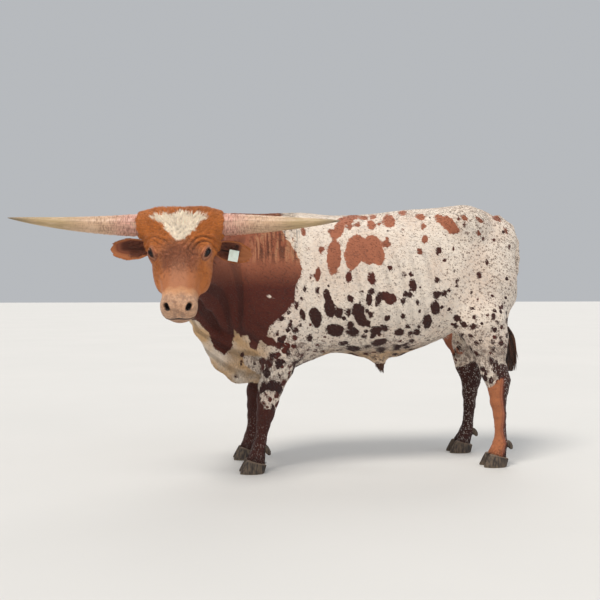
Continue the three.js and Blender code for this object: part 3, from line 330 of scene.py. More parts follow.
def joined(d, where, form, soft, *place):
    """Joins a form to the distance so far, worked out only where it can reach."""
    d[where] = blend(d[where], form(*(p[where] for p in place)), soft)


def flesh(x, y, z):
    d = trunk(x, y, z)
    front = x < 420
    joined(d, front, neck_form, 130, x, y, z)
    joined(d, front & (z > 950), crest_form, 70, x, y, z)
    joined(d, front & (z < 1150), dewlap_form, 80, x, y, z)
    for name, (sections, middle, _, _) in LEGS.items():
        near = (np.abs(x - sections[3][0]) < 330) & (np.abs(y - middle) < 300) & (z < 1050)
        joined(d, near, lambda *p, n=name: leg_form(n, *p), 55, x, y, z)
    u, v, w = to_head(x, y, z)
    near = (np.abs(u - 190) < 480) & (np.abs(v) < 460) & (np.abs(w + 70) < 340)
    joined(d, near, skull, 60, u, v, w)
    return d


def flesh_in_head(u, v, w):
    return flesh(*from_head(np.stack([u, v, w], -1)).T)


SEARCH_ROUNDS = 30


def reach(field, start, way, far=200.0):
    """Where a line from inside leaves the form."""
    inside, outside = 0.0, far
    for _ in range(SEARCH_ROUNDS):
        middle = (inside + outside) / 2
        spot = np.add(start, np.multiply(way, middle))
        if field(*(np.array([c]) for c in spot))[0] < 0:
            inside = middle
        else:
            outside = middle
    return np.add(start, np.multiply(way, inside))


def slope(field, points, here=None, h=0.5):
    here = field(*points.T) if here is None else here
    sides = [field(*(points + h * axis).T) - here for axis in np.eye(3)]
    return np.stack(sides, -1) / h


def eye_place(side):
    """Centre of the eyeball and the way it looks, with the two ways across its lids."""
    start = np.multiply(EYE["start"], (1, side, 1))
    spot = reach(flesh_in_head, start, unit(np.multiply(EYE["way"], (1, side, 1))))
    out = unit(slope(flesh_in_head, spot[None])[0])
    slant = np.array([1.0, -side * LID["slant"], 0])
    along = unit(slant - out * (out @ slant))
    return spot - out * EYE["sink"], out, along, np.cross(out, along)


EYES = {side: eye_place(side) for side in SIDES}


def nostril_place(side):
    start = np.multiply(NOSTRIL["start"], (1, side, 1))
    way = unit(np.multiply(NOSTRIL["way"], (1, side, 1)))
    spot = reach(flesh_in_head, start, way)
    across = unit(np.cross(way, [1.0, 0, 0]))
    down = np.cross(across, way)
    lean = NOSTRIL["lean"] * side
    return spot, way, turned(down, way, lean), turned(across, way, lean)


NOSTRILS = {side: nostril_place(side) for side in SIDES}


def mouth_line():
    points = []
    for angle in np.linspace(-1.75, 1.75, 25):
        c, s = math.cos(angle), math.sin(angle)
        w = mix(MOUTH["corner"], MOUTH["front"], max(c, 0) ** 0.7)
        line = [MOUTH["centre"] + MOUTH["length"] * c, MOUTH["half"] * s, w]
        inner = [MOUTH["centre"] * 0.9, 0, w]
        points.append(reach(flesh_in_head, inner, unit(np.subtract(line, inner)), 160))
    return points


MOUTH_ROD = rods([(*point, 5.2) for point in mouth_line()], 2)


def foot_plane(name, x):
    """Height of the edge of the hoof at a place along X."""
    stations = leg_stations(name)
    drop = (HOOF["front"] - HOOF["back"]) / HOOF["length"]
    return (HOOF["front"] + HOOF["back"]) / 2 - drop * (x - stations[-1][0] + 8)


def eye_forms(d, u, v, w):
    points = np.stack([u, v, w], -1)
    for centre, out, along, across in EYES.values():
        rel = points - centre
        a, b, c = rel @ along, rel @ across, rel @ out
        far = np.linalg.norm(rel, axis=-1)
        near = far < 90
        lid = (np.abs(a / LID["long"]) ** 1.8 + np.abs(b / LID["high"]) ** 1.8) ** (1 / 1.8)
        opening = np.maximum(np.maximum((lid - 1) * LID["high"], -c), EYE["radius"] - 2 - far)
        formed = blend(d, far - EYE["radius"] - LID["thick"], 12)
        around = np.sqrt((a / 1.45) ** 2 + b * b)
        crease = bump_at(around, 19, 2.2) + 0.9 * bump_at(around, 27, 2.6)
        formed = formed + 2.0 * crease * (c > 0)
        formed = carve(formed, -opening, 2.5)
        d = np.where(near, formed, d)
    return d


def nostril_forms(d, u, v, w):
    points = np.stack([u, v, w], -1)
    for spot, out, along, across in NOSTRILS.values():
        rel = points - spot + out * 4
        a, b, c = rel @ along, rel @ across, rel @ out
        near = (np.abs(a) < 60) & (np.abs(b) < 60) & (np.abs(c) < 60)
        long, wide, deep = NOSTRIL["radii"]
        wide = wide * (1 + 0.45 * np.clip(-a / long, -1, 1))
        q = np.sqrt((a / long) ** 2 + (b / wide) ** 2 + (c / deep) ** 2)
        formed = d - 2.4 * bump_at(q, 1.35, 0.22)
        formed = carve(formed, -(q - 1) * 11, 4)
        d = np.where(near, formed, d)
    return d


def relief(x, y, z, u, v, w):
    """Height in millimetres of folds, ribs and wrinkles over the smooth form."""
    side = np.abs(y)
    ribs = smooth_step(150, 260, x) * smooth_step(760, 620, x) * smooth_step(620, 760, z)
    ribs = ribs * smooth_step(1240, 1060, z) * smooth_step(120, 200, side)
    height = 1.6 * ribs * np.sin((x + 0.28 * z) / 12.5)
    # Folds where the neck bends to the left, and lighter ones down the brisket
    around = (x + 430) * 0.82 + (y + 150) * -0.57
    bend = smooth_step(-60, -120, y + (x + 430) * -0.35) * smooth_step(-160, -230, x)
    bend = bend * smooth_step(690, 800, z) * smooth_step(1240, 1130, z)
    bend = bend * smooth_step(-300, -220, around) * smooth_step(190, 110, around)
    off_head = 1 - smooth_step(-215, -165, w) * smooth_step(-150, -90, u) \
        * smooth_step(270, 230, np.abs(v))
    bend = bend * off_head
    height = height + 6.5 * bend * np.sin(around / 10.5 + 0.9 * np.sin(z / 83))
    brisket = smooth_step(-150, -260, x) * smooth_step(820, 700, z) * smooth_step(420, 520, z)
    height = height + 3.2 * brisket * off_head * np.sin((z + 0.5 * x) / 15 + 1.3 * np.sin((x - y) / 61))
    # Loose skin between brisket and foreleg, and at the stifle
    height = height + 2.2 * bump_at(x, 660, 60) * smooth_step(880, 780, z) \
        * smooth_step(600, 700, z) * np.sin((x - 0.7 * z) / 11)
    face = smooth_step(330, 250, np.sqrt(u * u * 0.4 + v * v + w * w))
    brow = np.hypot((u - 178) * 0.9, (np.abs(v) - 132) * 0.8)
    arcs = smooth_step(44, 54, brow) * smooth_step(104, 78, brow) * smooth_step(190, 130, u)
    arcs = arcs * np.where(v > 0, 1, 0.45)
    height = height + face * arcs * 4.2 * np.sin(brow / 3.4 + 0.8 * np.sin(v / 17))
    curls = smooth_step(260, 170, u) * smooth_step(110, 70, np.abs(v))
    knobs = np.sin(u / 7 + 1.9 * np.sin(v / 12 + 0.8 * np.sin(u / 15)))
    knobs = knobs * np.sin(v / 6.5 + 1.9 * np.sin(u / 11))
    height = height + face * curls * 1.7 * knobs
    collar = smooth_step(128, 158, np.abs(v)) * smooth_step(206, 196, np.abs(v))
    return height + collar * (np.hypot(u, w) < 110) * 5.5


def coat_depth(u, v, w):
    far = np.sqrt(((u - 170) / 1.5) ** 2 + v * v + (w + 60) ** 2)
    on_face = smooth_step(280, 200, far)
    muzzle = smooth_step(330, 392, u) * on_face
    return mix(mix(COAT_BODY, COAT_FACE, on_face), COAT_MUZZLE, muzzle)


def skin_form(x, y, z):
    """The whole skin: flesh less the coat's depth, with tail, sheath, lids and folds."""
    u, v, w = to_head(x, y, z)
    d = flesh(x, y, z)
    d = blend(d, tail_form(x, y, z), 26)
    d = blend(d, sheath_form(x, y, z), 26)
    d = blend(d, egg(x, y, z, *SCROTUM), 30)
    d = d - relief(x, y, z, u, v, w) + coat_depth(u, v, w)
    head = (np.abs(u - 180) < 340) & (np.abs(v) < 260) & (np.abs(w + 60) < 200)
    if np.any(head):
        part = d[head]
        place = u[head], v[head], w[head]
        part = eye_forms(part, *place)
        part = nostril_forms(part, *place)
        part = carve(part, -MOUTH_ROD(*place), 5)
        beyond = np.abs(place[1]) - np.where(place[1] > 0, HAIR_END[1], HAIR_END[-1])
        turn = np.arctan2(place[2], place[0] - YOKE["place"])
        beyond = beyond + 4 * np.sin(3 * turn + 0.6) + 2.5 * np.sin(7 * turn)
        at_horn = (np.hypot(place[0] - YOKE["place"], place[2]) < 90) & (beyond > -24)
        part = np.where(at_horn, carve(part, beyond, 16), part)
        d = d.copy()
        d[head] = part
    for name in LEGS:
        foot_x, foot_y = leg_stations(name)[-1][0], LEGS[name][1]
        near = (np.abs(x - foot_x) < 150) & (np.abs(y - foot_y) < 130) & (z < 170)
        cut = foot_plane(name, x) - z
        d = np.where(near, carve(d, cut, 7), d)
    return d


# Surface nets: one corner in each crossed cell of a grid, settled on the form
STEP = 14.0
LOW_CORNER, HIGH_CORNER = (-960, -760, 20), (1290, 340, 1440)
CUBE = [(i, j, k) for i in (0, 1) for j in (0, 1) for k in (0, 1)]
BATCH = 400000


def grid_values(field, axes, stride=4, band=150.0):
    """The form on a grid, worked out only near its surface."""
    sparse = [np.append(axis[::stride], axis[-1] + stride * STEP) for axis in axes]
    mesh = np.meshgrid(*sparse, indexing="ij")
    coarse = field(*(m.ravel() for m in mesh)).reshape(mesh[0].shape)
    close = np.abs(coarse) < band
    full = [len(axis) for axis in axes]
    touched = np.zeros(full, bool)
    value = np.zeros(full)
    picks = [np.minimum(np.arange(n) // stride, len(s) - 2) for n, s in zip(full, sparse)]
    for i, j, k in CUBE:
        corner = np.ix_(picks[0] + i, picks[1] + j, picks[2] + k)
        touched |= close[corner]
        value += coarse[corner] / len(CUBE)
    spots = np.argwhere(touched)
    for start in range(0, len(spots), BATCH):
        part = spots[start:start + BATCH]
        at = [axis[part[:, n]] for n, axis in enumerate(axes)]
        value[tuple(part.T)] = field(*at)
    return value


def surface_net(value, axes):
    inside = value < 0
    shape = np.array(value.shape)

    def corner(c, source):
        return source[tuple(slice(c[n], shape[n] - 1 + c[n]) for n in range(3))]

    count = sum(corner(c, inside).astype(np.int8) for c in CUBE)
    cells = np.argwhere((count > 0) & (count < len(CUBE)))
    index = np.full(shape - 1, -1)
    index[tuple(cells.T)] = np.arange(len(cells))
    total, hits = np.zeros((len(cells), 3)), np.zeros(len(cells))
    for a in CUBE:
        for b in CUBE:
            if sum(b) - sum(a) != 1 or any(q < p for p, q in zip(a, b)):
                continue
            va, vb = (value[tuple((cells + c).T)] for c in (a, b))
            crossed = (va < 0) != (vb < 0)
            t = va / np.where(crossed, va - vb, 1)
            total += np.where(crossed[:, None], a + np.subtract(b, a) * t[:, None], 0)
            hits += crossed
    origin = np.array([axis[0] for axis in axes])
    points = origin + (cells + total / hits[:, None]) * STEP
    quads = []
    for axis in range(3):
        side, up = np.eye(3, dtype=int)[(axis + 1) % 3], np.eye(3, dtype=int)[(axis + 2) % 3]
        ahead = np.eye(3, dtype=int)[axis]
        first = inside[tuple(slice(0, shape[n] - ahead[n]) for n in range(3))]
        second = inside[tuple(slice(ahead[n], shape[n]) for n in range(3))]
        edges = np.argwhere(first != second)
        edges = edges[(edges[:, (axis + 1) % 3] > 0) & (edges[:, (axis + 2) % 3] > 0)]
        edges = edges[np.all(edges < shape - 1, axis=1)]
        ring = [edges, edges - side, edges - side - up, edges - up]
        quad = np.stack([index[tuple(r.T)] for r in ring], 1)
        leaving = first[tuple(edges.T)]
        quads.append(np.where(leaving[:, None], quad, quad[:, ::-1]))
    return points, np.concatenate(quads)


def settled(points, rounds=3, limit=6.0):
    for _ in range(rounds):
        d = skin_form(*points.T)
        way = slope(skin_form, points, d)
        size = np.maximum((way ** 2).sum(1), 0.15)
        points = points - way * np.clip(d / size, -limit, limit)[:, None]
    return points


def divided(build, choose):
    """Cuts in half every edge whose two ends are chosen, so that the mesh is finer there."""
    build.verts.ensure_lookup_table()
    spots = np.array([v.co for v in build.verts])
    chosen = choose(*spots.T)
    edges = [e for e in build.edges if chosen[e.verts[0].index] and chosen[e.verts[1].index]]
    bmesh.ops.subdivide_edges(build, edges=edges, cuts=1, use_grid_fill=True)
    build.verts.index_update()
    settle_mesh(build, choose)


def settle_mesh(build, choose, relax=0.45):
    """Evens out the chosen corners a little and puts them back on the form."""
    spots = np.array([v.co for v in build.verts])
    pairs = np.array([[e.verts[0].index, e.verts[1].index] for e in build.edges])
    pairs = np.concatenate([pairs, pairs[:, ::-1]])
    count = np.bincount(pairs[:, 0], minlength=len(spots))
    total = np.stack([
        np.bincount(pairs[:, 0], spots[pairs[:, 1], n], len(spots)) for n in range(3)], 1)
    chosen = np.flatnonzero(choose(*spots.T))
    even = mix(spots[chosen], (total / count[:, None])[chosen], relax)
    build.verts.ensure_lookup_table()
    for index, spot in zip(chosen.tolist(), settled(even)):
        build.verts[index].co = spot


def fine_on_limbs(x, y, z):
    u, v, w = to_head(x, y, z)
    head = by_head(u, v, w, 330, 290, -230, 180)
    neck = (x < -300) & (y < -40) & (z > 560)
    legs = (z < 470) & (y > -400)
    tail = x > 1150
    return head | neck | legs | tail


def fine_on_head(x, y, z):
    u, v, w = to_head(x, y, z)
    return (u > 10) & (u < 520) & (np.abs(v) < 215) & (w > -150)


def fine_on_face(x, y, z):
    u, v, w = to_head(x, y, z)
    eyes = (np.hypot(u - 165, np.abs(v) - 122) < 48) & (w > -20)
    muzzle = (u > 372) & (w > -70)
    lips = (u > 340) & (np.abs(w + 56) < 22)
    return eyes | muzzle | lips


def skin_mesh():
    axes = [np.arange(a, b, STEP) for a, b in zip(LOW_CORNER, HIGH_CORNER)]
    points, quads = surface_net(grid_values(skin_form, axes), axes)
    build = bmesh.new()
    verts = [build.verts.new(point) for point in settled(points)]
    for quad in quads:
        build.faces.new([verts[n] for n in quad])
    build.verts.index_update()
    for choose in (fine_on_limbs, fine_on_head, fine_on_face):
        divided(build, choose)
    bmesh.ops.triangulate(build, faces=build.faces[:], quad_method="SHORT_EDGE")
    mesh = bpy.data.meshes.new("skin")
    build.to_mesh(mesh)
    build.free()
    return mesh


# Meshes and what is written on their corners
def to_row(points):
    return (np.asarray(points, float) + SHIFT) * MM


def corners_of(mesh):
    flat = np.empty(len(mesh.vertices) * 3)
    mesh.vertices.foreach_get("co", flat)
    return flat.reshape(-1, 3)


def normals_of(mesh):
    flat = np.empty(len(mesh.vertices) * 3)
    mesh.vertices.foreach_get("normal", flat)
    return flat.reshape(-1, 3)


def note(mesh, name, values, kind="FLOAT"):
    """Writes one value, or one vector, on each corner."""
    values = np.asarray(values, float)
    attribute = mesh.attributes.new(name, kind, "POINT")
    attribute.data.foreach_set("vector" if kind == "FLOAT_VECTOR" else "value", values.ravel())


def placed(name, data):
    thing = bpy.data.objects.new(name, data)
    bpy.context.scene.collection.objects.link(thing)
    return thing


def piece(name, mesh, material, nodes=(), body="root"):
    thing = placed(name, mesh)
    mesh.materials.clear()
    mesh.materials.append(material)
    mesh.polygons.foreach_set("use_smooth", np.ones(len(mesh.polygons), bool))
    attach(thing, body)
    if nodes:
        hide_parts(*nodes)
    return thing


def grid_faces(rows, columns, offset=0, wrapped=True):
    faces = []
    for i in range(rows - 1):
        for j in range(columns if wrapped else columns - 1):
            k = (j + 1) % columns
            a, b = offset + i * columns, offset + (i + 1) * columns
            faces.append((a + j, a + k, b + k, b + j))
    return faces


def tube_mesh(name, rings):
    """Closed tube through rings of the same count, each end closed by a fan."""
    rings = np.asarray(rings, float)
    rows, columns = rings.shape[:2]
    points = [*rings.reshape(-1, 3), rings[0].mean(0), rings[-1].mean(0)]
    faces = grid_faces(rows, columns)
    start, end = rows * columns, rows * columns + 1
    for j in range(columns):
        k = (j + 1) % columns
        faces.append((start, k, j))
        faces.append((end, (rows - 1) * columns + j, (rows - 1) * columns + k))
    return mesh_from(name, points, faces)


def mesh_from(name, points, faces):
    mesh = bpy.data.meshes.new(name)
    mesh.from_pydata([tuple(p) for p in points], [], faces)
    build = bmesh.new()
    build.from_mesh(mesh)
    bmesh.ops.recalc_face_normals(build, faces=build.faces[:])
    build.to_mesh(mesh)
    build.free()
    return mesh


# The photograph's camera, in draft millimetres
CAMERA_TURN, CAMERA_DISTANCE, CAMERA_HEIGHT = math.radians(8), 4500.0, 930.0
CAMERA_DIP, FOCAL_PIXELS, IMAGE_SIDE, HORIZON_ROW = math.radians(0.68), 841.0, 600, 290
SIGHT = np.array([math.sin(CAMERA_TURN), math.cos(CAMERA_TURN), 0.0])
CAMERA_SPOT = -SIGHT * CAMERA_DISTANCE + UP * CAMERA_HEIGHT
PIXEL = CAMERA_DISTANCE / FOCAL_PIXELS
# No part of the bull is nearer to the camera than this
NEAREST = 3300.0


def seen_at(points):
    """Column and row of the image where the camera sees each point."""
    x, y, z = np.asarray(points, float).T
    depth = CAMERA_DISTANCE + SIGHT[0] * x + SIGHT[1] * y
    column = IMAGE_SIDE / 2 + FOCAL_PIXELS * (SIGHT[1] * x - SIGHT[0] * y) / depth
    row = HORIZON_ROW + FOCAL_PIXELS * (CAMERA_HEIGHT - z) / depth
    return column, row


# Outline of the brown of neck and shoulder on the near side, as column and row in the image
SHOULDER_BROWN = [
    (60, 150), (272, 205), (281.6, 233), (294, 248.5), (301, 262.5), (302, 275), (297, 282),
    (294, 302), (284, 315), (271, 325), (266, 336), (276, 341), (277, 347), (266, 345),
    (260, 340), (256, 351), (250, 347), (248, 335), (241, 337), (234, 329), (232, 348), (224, 355),
    (214, 348), (208, 332), (196, 320), (60, 330),
]
# Spots of the near side: column, row, half width, half height, turn in degrees, darkness, which is
# higher on the lower spots as painted shade
NEAR_SPOTS = [
    (334, 257, 7, 18, 4, 0.35), (448, 224, 10, 6, 40, 0.3),
    (453, 230, 6, 5, 20, 0.35), (440, 219, 6, 4, 20, 0.3), (389, 221, 6, 7, -20, 0.3),
    (371, 225, 4, 5, -20, 0.3), (339, 229, 5, 9, 15, 0.32), (345, 221, 8, 4, 0, 0.3),
    (334, 234, 4, 6, 10, 0.32), (420, 217, 5, 3, 10, 0.3), (423, 226, 3, 3.4, 0, 0.35),
    (402, 213, 4, 2.4, 0, 0.3), (424.5, 240, 3.4, 5, 15, 0.4), (386, 244, 4.5, 3.5, 30, 0.4),
    (387.4, 238, 1.8, 1.8, 0, 0.4), (438, 251, 3, 4, 0, 0.8), (419.4, 251.7, 2.4, 4, -15, 0.5),
    (426, 253, 1.2, 1.8, 0, 0.6), (453, 248.5, 1.6, 2.4, 0, 0.7), (464, 217.5, 5, 2.4, 35, 0.35),
    (479, 220, 5, 2, 40, 0.45), (496, 218, 5, 2.6, 35, 0.4), (505, 230, 1.4, 5, -20, 0.5),
    (478, 233, 2, 3.6, -20, 0.5), (482.8, 239, 1.5, 2, 0, 0.7), (493.3, 240.4, 1.4, 1.8, 0, 0.7),
    (509.3, 247, 1.4, 3, 0, 0.7), (487, 261.9, 2, 3, 0, 0.85), (478.7, 275.2, 2.6, 3.6, 0, 0.85),
    (457.8, 218.7, 1.6, 3.5, -30, 0.55), (463.9, 225, 1.5, 3, -20, 0.6), (467, 232.6, 2, 2.2, 0, 0.6),
    (461.5, 233.9, 1.5, 1.6, 0, 0.7), (456.5, 234.4, 1.4, 1.6, 0, 0.7), (349.4, 227, 2.4, 3, 0, 0.4),
    (357.4, 225, 2.8, 2.2, 0, 0.4), (379, 224, 2.4, 2.4, 0, 0.4), (352, 217.6, 7, 2.6, 0, 0.3),
    (363, 218, 5, 2.4, 0, 0.3), (373, 217, 4, 2.2, 0, 0.3), (403, 229.8, 1.3, 1.4, 0, 0.5),
    (390, 267.8, 2.6, 2.6, 0, 0.75), (398.5, 266, 1.3, 1.4, 0, 0.7), (403.7, 274.3, 2, 2.6, 0, 0.85),
    (411, 274.3, 2.3, 3.2, 0, 0.85), (412.8, 285.4, 4, 6.5, -18, 0.85), (394, 284, 1.5, 1.6, 0, 0.8),
    (436.8, 280.4, 2.4, 3, 0, 0.95), (457.4, 280.7, 2, 2.4, 0, 0.9), (457, 286.3, 1.5, 1.6, 0, 0.9),
    (450, 290, 2, 2.2, 0, 0.9), (436.5, 295, 4, 4.6, 0, 0.95), (444, 293.7, 3, 3.4, 0, 0.9),
    (435.4, 307.6, 5, 7.4, -10, 0.95), (417.4, 302.4, 2.3, 2.8, 0, 0.9),
    (419.4, 311.3, 1.7, 2.4, 0, 0.9), (402.6, 301, 2.7, 4, 0, 0.9), (405.5, 293.7, 2.5, 3.2, 0, 0.9),
    (410, 294.8, 2.6, 2.8, 0, 0.9), (402.8, 316.5, 2.3, 2.7, 0, 0.9), (391, 299, 6.5, 5.5, 0, 0.7),
    (385, 296, 4, 5, 20, 0.75), (378.5, 299.3, 3.2, 8, 12, 0.9), (369.4, 299.3, 3.2, 6.5, 0, 0.9),
    (371.3, 291, 3, 3, 0, 0.9), (361.5, 291.9, 2, 1.7, 0, 0.85), (349.8, 298.7, 3, 4, 0, 0.9),
    (348, 312.8, 3, 4.6, 0, 0.9), (358, 310, 6.6, 7, -20, 0.9), (361, 319, 5.4, 9, -30, 0.95),
    (368, 323.5, 2.4, 3.6, 0, 0.9), (387.4, 317.8, 3, 3.4, 0, 0.9), (370.4, 315, 3, 3.2, 0, 0.9),
    (384.6, 328, 4.6, 3.4, 10, 0.95), (376.3, 330.4, 6.2, 4.4, 0, 0.95), (399.4, 332.2, 5, 4, 0, 0.95),
    (410, 333.5, 2.8, 2.8, 0, 0.95), (417, 332.2, 3.4, 3.4, 0, 0.95), (407.8, 326, 2.5, 2.5, 0, 0.9),
    (418.5, 327, 1.6, 2.2, 0, 0.9), (427, 321.6, 5.2, 7.2, 8, 0.97), (379, 342.2, 8.4, 3.4, -16, 0.97),
    (380, 349, 4.8, 3.2, 0, 0.97), (395.7, 347, 4.6, 3, -14, 0.97), (366, 346.4, 4.6, 1.5, -6, 0.9),
    (352.2, 348, 7.6, 2.8, 5, 0.97), (343, 343.4, 5, 2.4, -8, 0.95), (352.6, 331.7, 6, 5, 0, 0.97),
    (363.3, 336.4, 4, 2, 10, 0.95), (335, 330, 9.5, 6.4, 0, 0.95), (350.4, 325, 3.4, 3.4, 0, 0.95),
    (404, 344.6, 5, 1.5, -14, 0.9), (411.5, 341, 3, 1.8, 0, 0.9), (349, 276.5, 3.4, 6, 0, 0.6),
    (371.5, 278, 4.2, 6, -10, 0.6), (317.7, 274.2, 2.8, 7.6, 4, 0.5), (303.2, 231.5, 2.3, 5, -20, 0.4),
    (330.5, 231.5, 2.6, 3, 0, 0.4), (320.6, 249.7, 2.4, 4.2, 0, 0.45), (326.4, 247.7, 1, 1.7, 0, 0.45),
    (307.3, 247.2, 1, 1.9, 0, 0.45), (292.4, 237.3, 1, 2.2, 0, 0.4), (325.9, 279.6, 1.1, 1.5, 0, 0.7),
    (311, 277, 1.3, 5, 0, 0.7), (304.8, 289, 1.6, 4.2, 0, 0.9), (317.2, 290.3, 2.2, 4, 0, 0.9),
    (327.5, 297, 4, 8, -14, 0.92), (330, 309, 5.6, 9, -10, 0.92), (301.5, 298.6, 1.6, 3, 0, 0.9),
    (296.5, 305, 1.8, 6, 20, 0.85), (302.7, 315.2, 2.6, 6.6, -15, 0.9),
    (315.6, 317.7, 6, 10.4, -14, 0.95), (338.8, 312.7, 4.8, 5.6, 0, 0.92),
    (347.9, 312.7, 2.2, 4.4, 0, 0.9), (289.9, 324.3, 2.6, 4.6, 0, 0.9), (294.9, 331, 3.4, 4, 0, 0.9),
    (283, 338, 3.4, 3, 20, 0.85), (300, 324, 1.8, 3, 0, 0.9), (309, 338, 3, 3.6, 0, 0.9),
    (288, 352, 2.2, 4.6, -5, 0.9), (281, 346, 1.6, 2.2, 0, 0.9), (269, 363, 4.2, 6, 6, 0.8),
    (266, 372, 3, 3.6, 0, 0.92), (272, 355, 3.4, 3.4, 30, 0.9), (277, 333, 2, 3, 0, 0.85),
    (264, 383, 2, 2.4, 0, 0.9), (270, 388, 2.4, 2.4, 0, 0.92), (278, 376, 2, 2.6, 0, 0.9),
    (275, 384, 1.4, 2, 0, 0.9), (254.6, 363, 2.2, 1.6, 30, 0.85), (242, 355, 2, 3, 20, 0.8),
    (241, 362, 1.6, 2, 0, 0.8), (236, 376, 1.8, 1.8, 0, 0.8), (251, 384, 3, 2.2, 0, 0.9),
    (456.5, 317.8, 3.6, 3, 20, 0.9), (456, 325.2, 3, 2.5, 0, 0.9), (463.5, 324.3, 4.6, 2.8, 32, 0.9),
    (473.5, 327, 4, 3.4, 0, 0.95), (473.5, 316.8, 2.6, 2, 0, 0.9), (470.7, 336.3, 2.8, 1.8, 10, 0.9),
    (461.5, 335, 3.2, 1.6, 10, 0.9), (476.3, 342.8, 2.8, 2.8, 30, 0.9),
    (493.7, 316.5, 2.3, 3.8, 0, 0.9), (498, 322.4, 1.6, 2.6, 0, 0.9), (492.6, 328.9, 2.2, 2.6, 0, 0.95),
    (492.4, 341.9, 2, 2.5, 0, 0.9), (500.4, 338, 1.8, 2.8, 0, 0.9), (493.5, 348.3, 2.4, 2.6, 0, 0.95),
    (491, 358.9, 2.4, 3.2, 0, 0.95), (495.4, 366, 2.8, 6.4, 0, 0.97), (486.5, 372.4, 2, 2.6, 0, 0.9),
    (491, 380.7, 2.9, 3.4, 0, 0.97), (502, 372, 5, 9, 0, 0.95), (444.8, 260, 2.2, 1.8, 0, 0.8),
    (454.4, 271, 1.5, 1.8, 0, 0.9), (480.6, 261, 1.2, 1.5, 0, 0.8), (505, 288, 1.2, 2.2, 0, 0.8),
    (502.2, 306.7, 1.4, 2, 0, 0.8), (476.3, 300.7, 1.3, 1.4, 0, 0.8), (469.8, 309.4, 1.4, 1.4, 0, 0.8),
]
# Large patch of the back, as column and row in the image
BACK_PATCH = [
    (343, 254), (346.5, 248), (347.5, 240), (352, 235.5), (357, 234.2), (362, 236.5), (364.3, 238.5),
    (367, 236), (372, 234.8), (377, 236.8), (381, 243), (384.5, 252), (385, 259.5), (382, 264.5),
    (377, 265), (374.3, 262), (371, 264.5), (366, 263.5), (361.3, 261.3), (358, 265.5),
    (353.5, 269), (349.5, 269.2), (346, 264), (343.8, 258.5),
]
WHITE_NICK = (270, 297, 2.6, 1.2, 30)
# Dark of the near foreleg, as column and row in the image
FORE_DARK = [
    (236, 380), (246, 385), (256, 387), (259.5, 389), (261, 398), (267, 409), (274, 411.5),
    (279, 408), (283, 398), (285, 386), (300, 380), (300, 520), (220, 520),
]
# Spots of the far side, which the picture does not show: X, height, radii, turn, darkness, which is
# higher on the lower spots as painted shade
FAR_SPOTS = [
    (262, 1130, 92, 62, 15, 0.3), (350, 1090, 60, 48, -20, 0.3), (120, 1010, 44, 78, 10, 0.4),
    (520, 1210, 66, 40, 25, 0.3), (640, 1090, 44, 36, 0, 0.4), (800, 1250, 60, 34, -20, 0.3),
    (930, 1150, 52, 40, 10, 0.5), (1040, 1230, 40, 28, -30, 0.4), (210, 800, 50, 34, 20, 0.9),
    (300, 720, 60, 36, -15, 0.9), (420, 780, 44, 40, 0, 0.9), (520, 700, 56, 28, 8, 0.9),
    (600, 830, 36, 30, 0, 0.9), (150, 690, 40, 52, 12, 0.9), (60, 860, 40, 62, -12, 0.8),
    (700, 900, 34, 30, 0, 0.9), (860, 960, 44, 36, 15, 0.85), (1000, 900, 34, 44, 0, 0.9),
    (960, 760, 40, 30, 10, 0.95), (400, 940, 30, 26, 0, 0.7), (500, 1010, 26, 34, 0, 0.6),
]
# White triangle of the forehead: across the face and down it
BLAZE_OUTLINE = [
    (-134, 4), (-98, -6), (-40, -4), (-24, -10), (2, -26), (26, -16), (74, -8), (114, 6), (97, 26),
    (71, 54), (42, 88), (10, 120), (-6, 122), (-38, 88), (-70, 56), (-84, 40), (-108, 22),
]


def polygon_distance(px, py, outline):
    """Signed distance to a closed outline, below zero inside."""
    best = np.full(np.shape(px), 1e9)
    inside = np.zeros(np.shape(px), bool)
    for (ax, ay), (bx, by) in zip(outline, outline[1:] + outline[:1]):
        ex, ey = bx - ax, by - ay
        t = np.clip(((px - ax) * ex + (py - ay) * ey) / (ex * ex + ey * ey), 0, 1)
        best = np.minimum(best, np.hypot(px - ax - ex * t, py - ay - ey * t))
        crosses = (ay > py) != (by > py)
        at = ax + (py - ay) * ex / (ey if ey else 1e-9)
        inside ^= crosses & (px < at)
    return np.where(inside, -best, best)


def oval_distance(dx, dy, wide, tall, degrees):
    c, s = math.cos(math.radians(degrees)), math.sin(math.radians(degrees))
    a, b = (dx * c + dy * s) / wide, (dy * c - dx * s) / tall
    q = np.sqrt(a * a + b * b)
    return (q - 1) * (wide + tall) / 2


class Marks:
    """Signed distance to the nearest marking and how dark that marking is."""

    def __init__(self, count):
        self.distance = np.full(count, 120.0)
        self.dark = np.full(count, 0.5)

    def add(self, distance, dark, where=True):
        nearer = (distance < self.distance) & where
        self.distance = np.where(nearer, distance, self.distance)
        self.dark = np.where(nearer, dark, self.dark)


def hit_spots(spots):
    """Where the lines of sight through pixels meet the flesh."""
    column, row = np.array([spot[:2] for spot in spots], float).T
    right = np.array([SIGHT[1], -SIGHT[0], 0.0])
    way = unit(SIGHT * FOCAL_PIXELS + right * (column - IMAGE_SIDE / 2)[:, None]
               - UP * (row - HORIZON_ROW)[:, None])
    along = np.full((len(spots), 1), NEAREST)
    for _ in range(SEARCH_ROUNDS):
        spot = CAMERA_SPOT + way * along
        along = along + np.clip(flesh(*spot.T), -60, 160)[:, None] * 0.8
    return CAMERA_SPOT + way * along


SPOT_PLACES = hit_spots(NEAR_SPOTS)


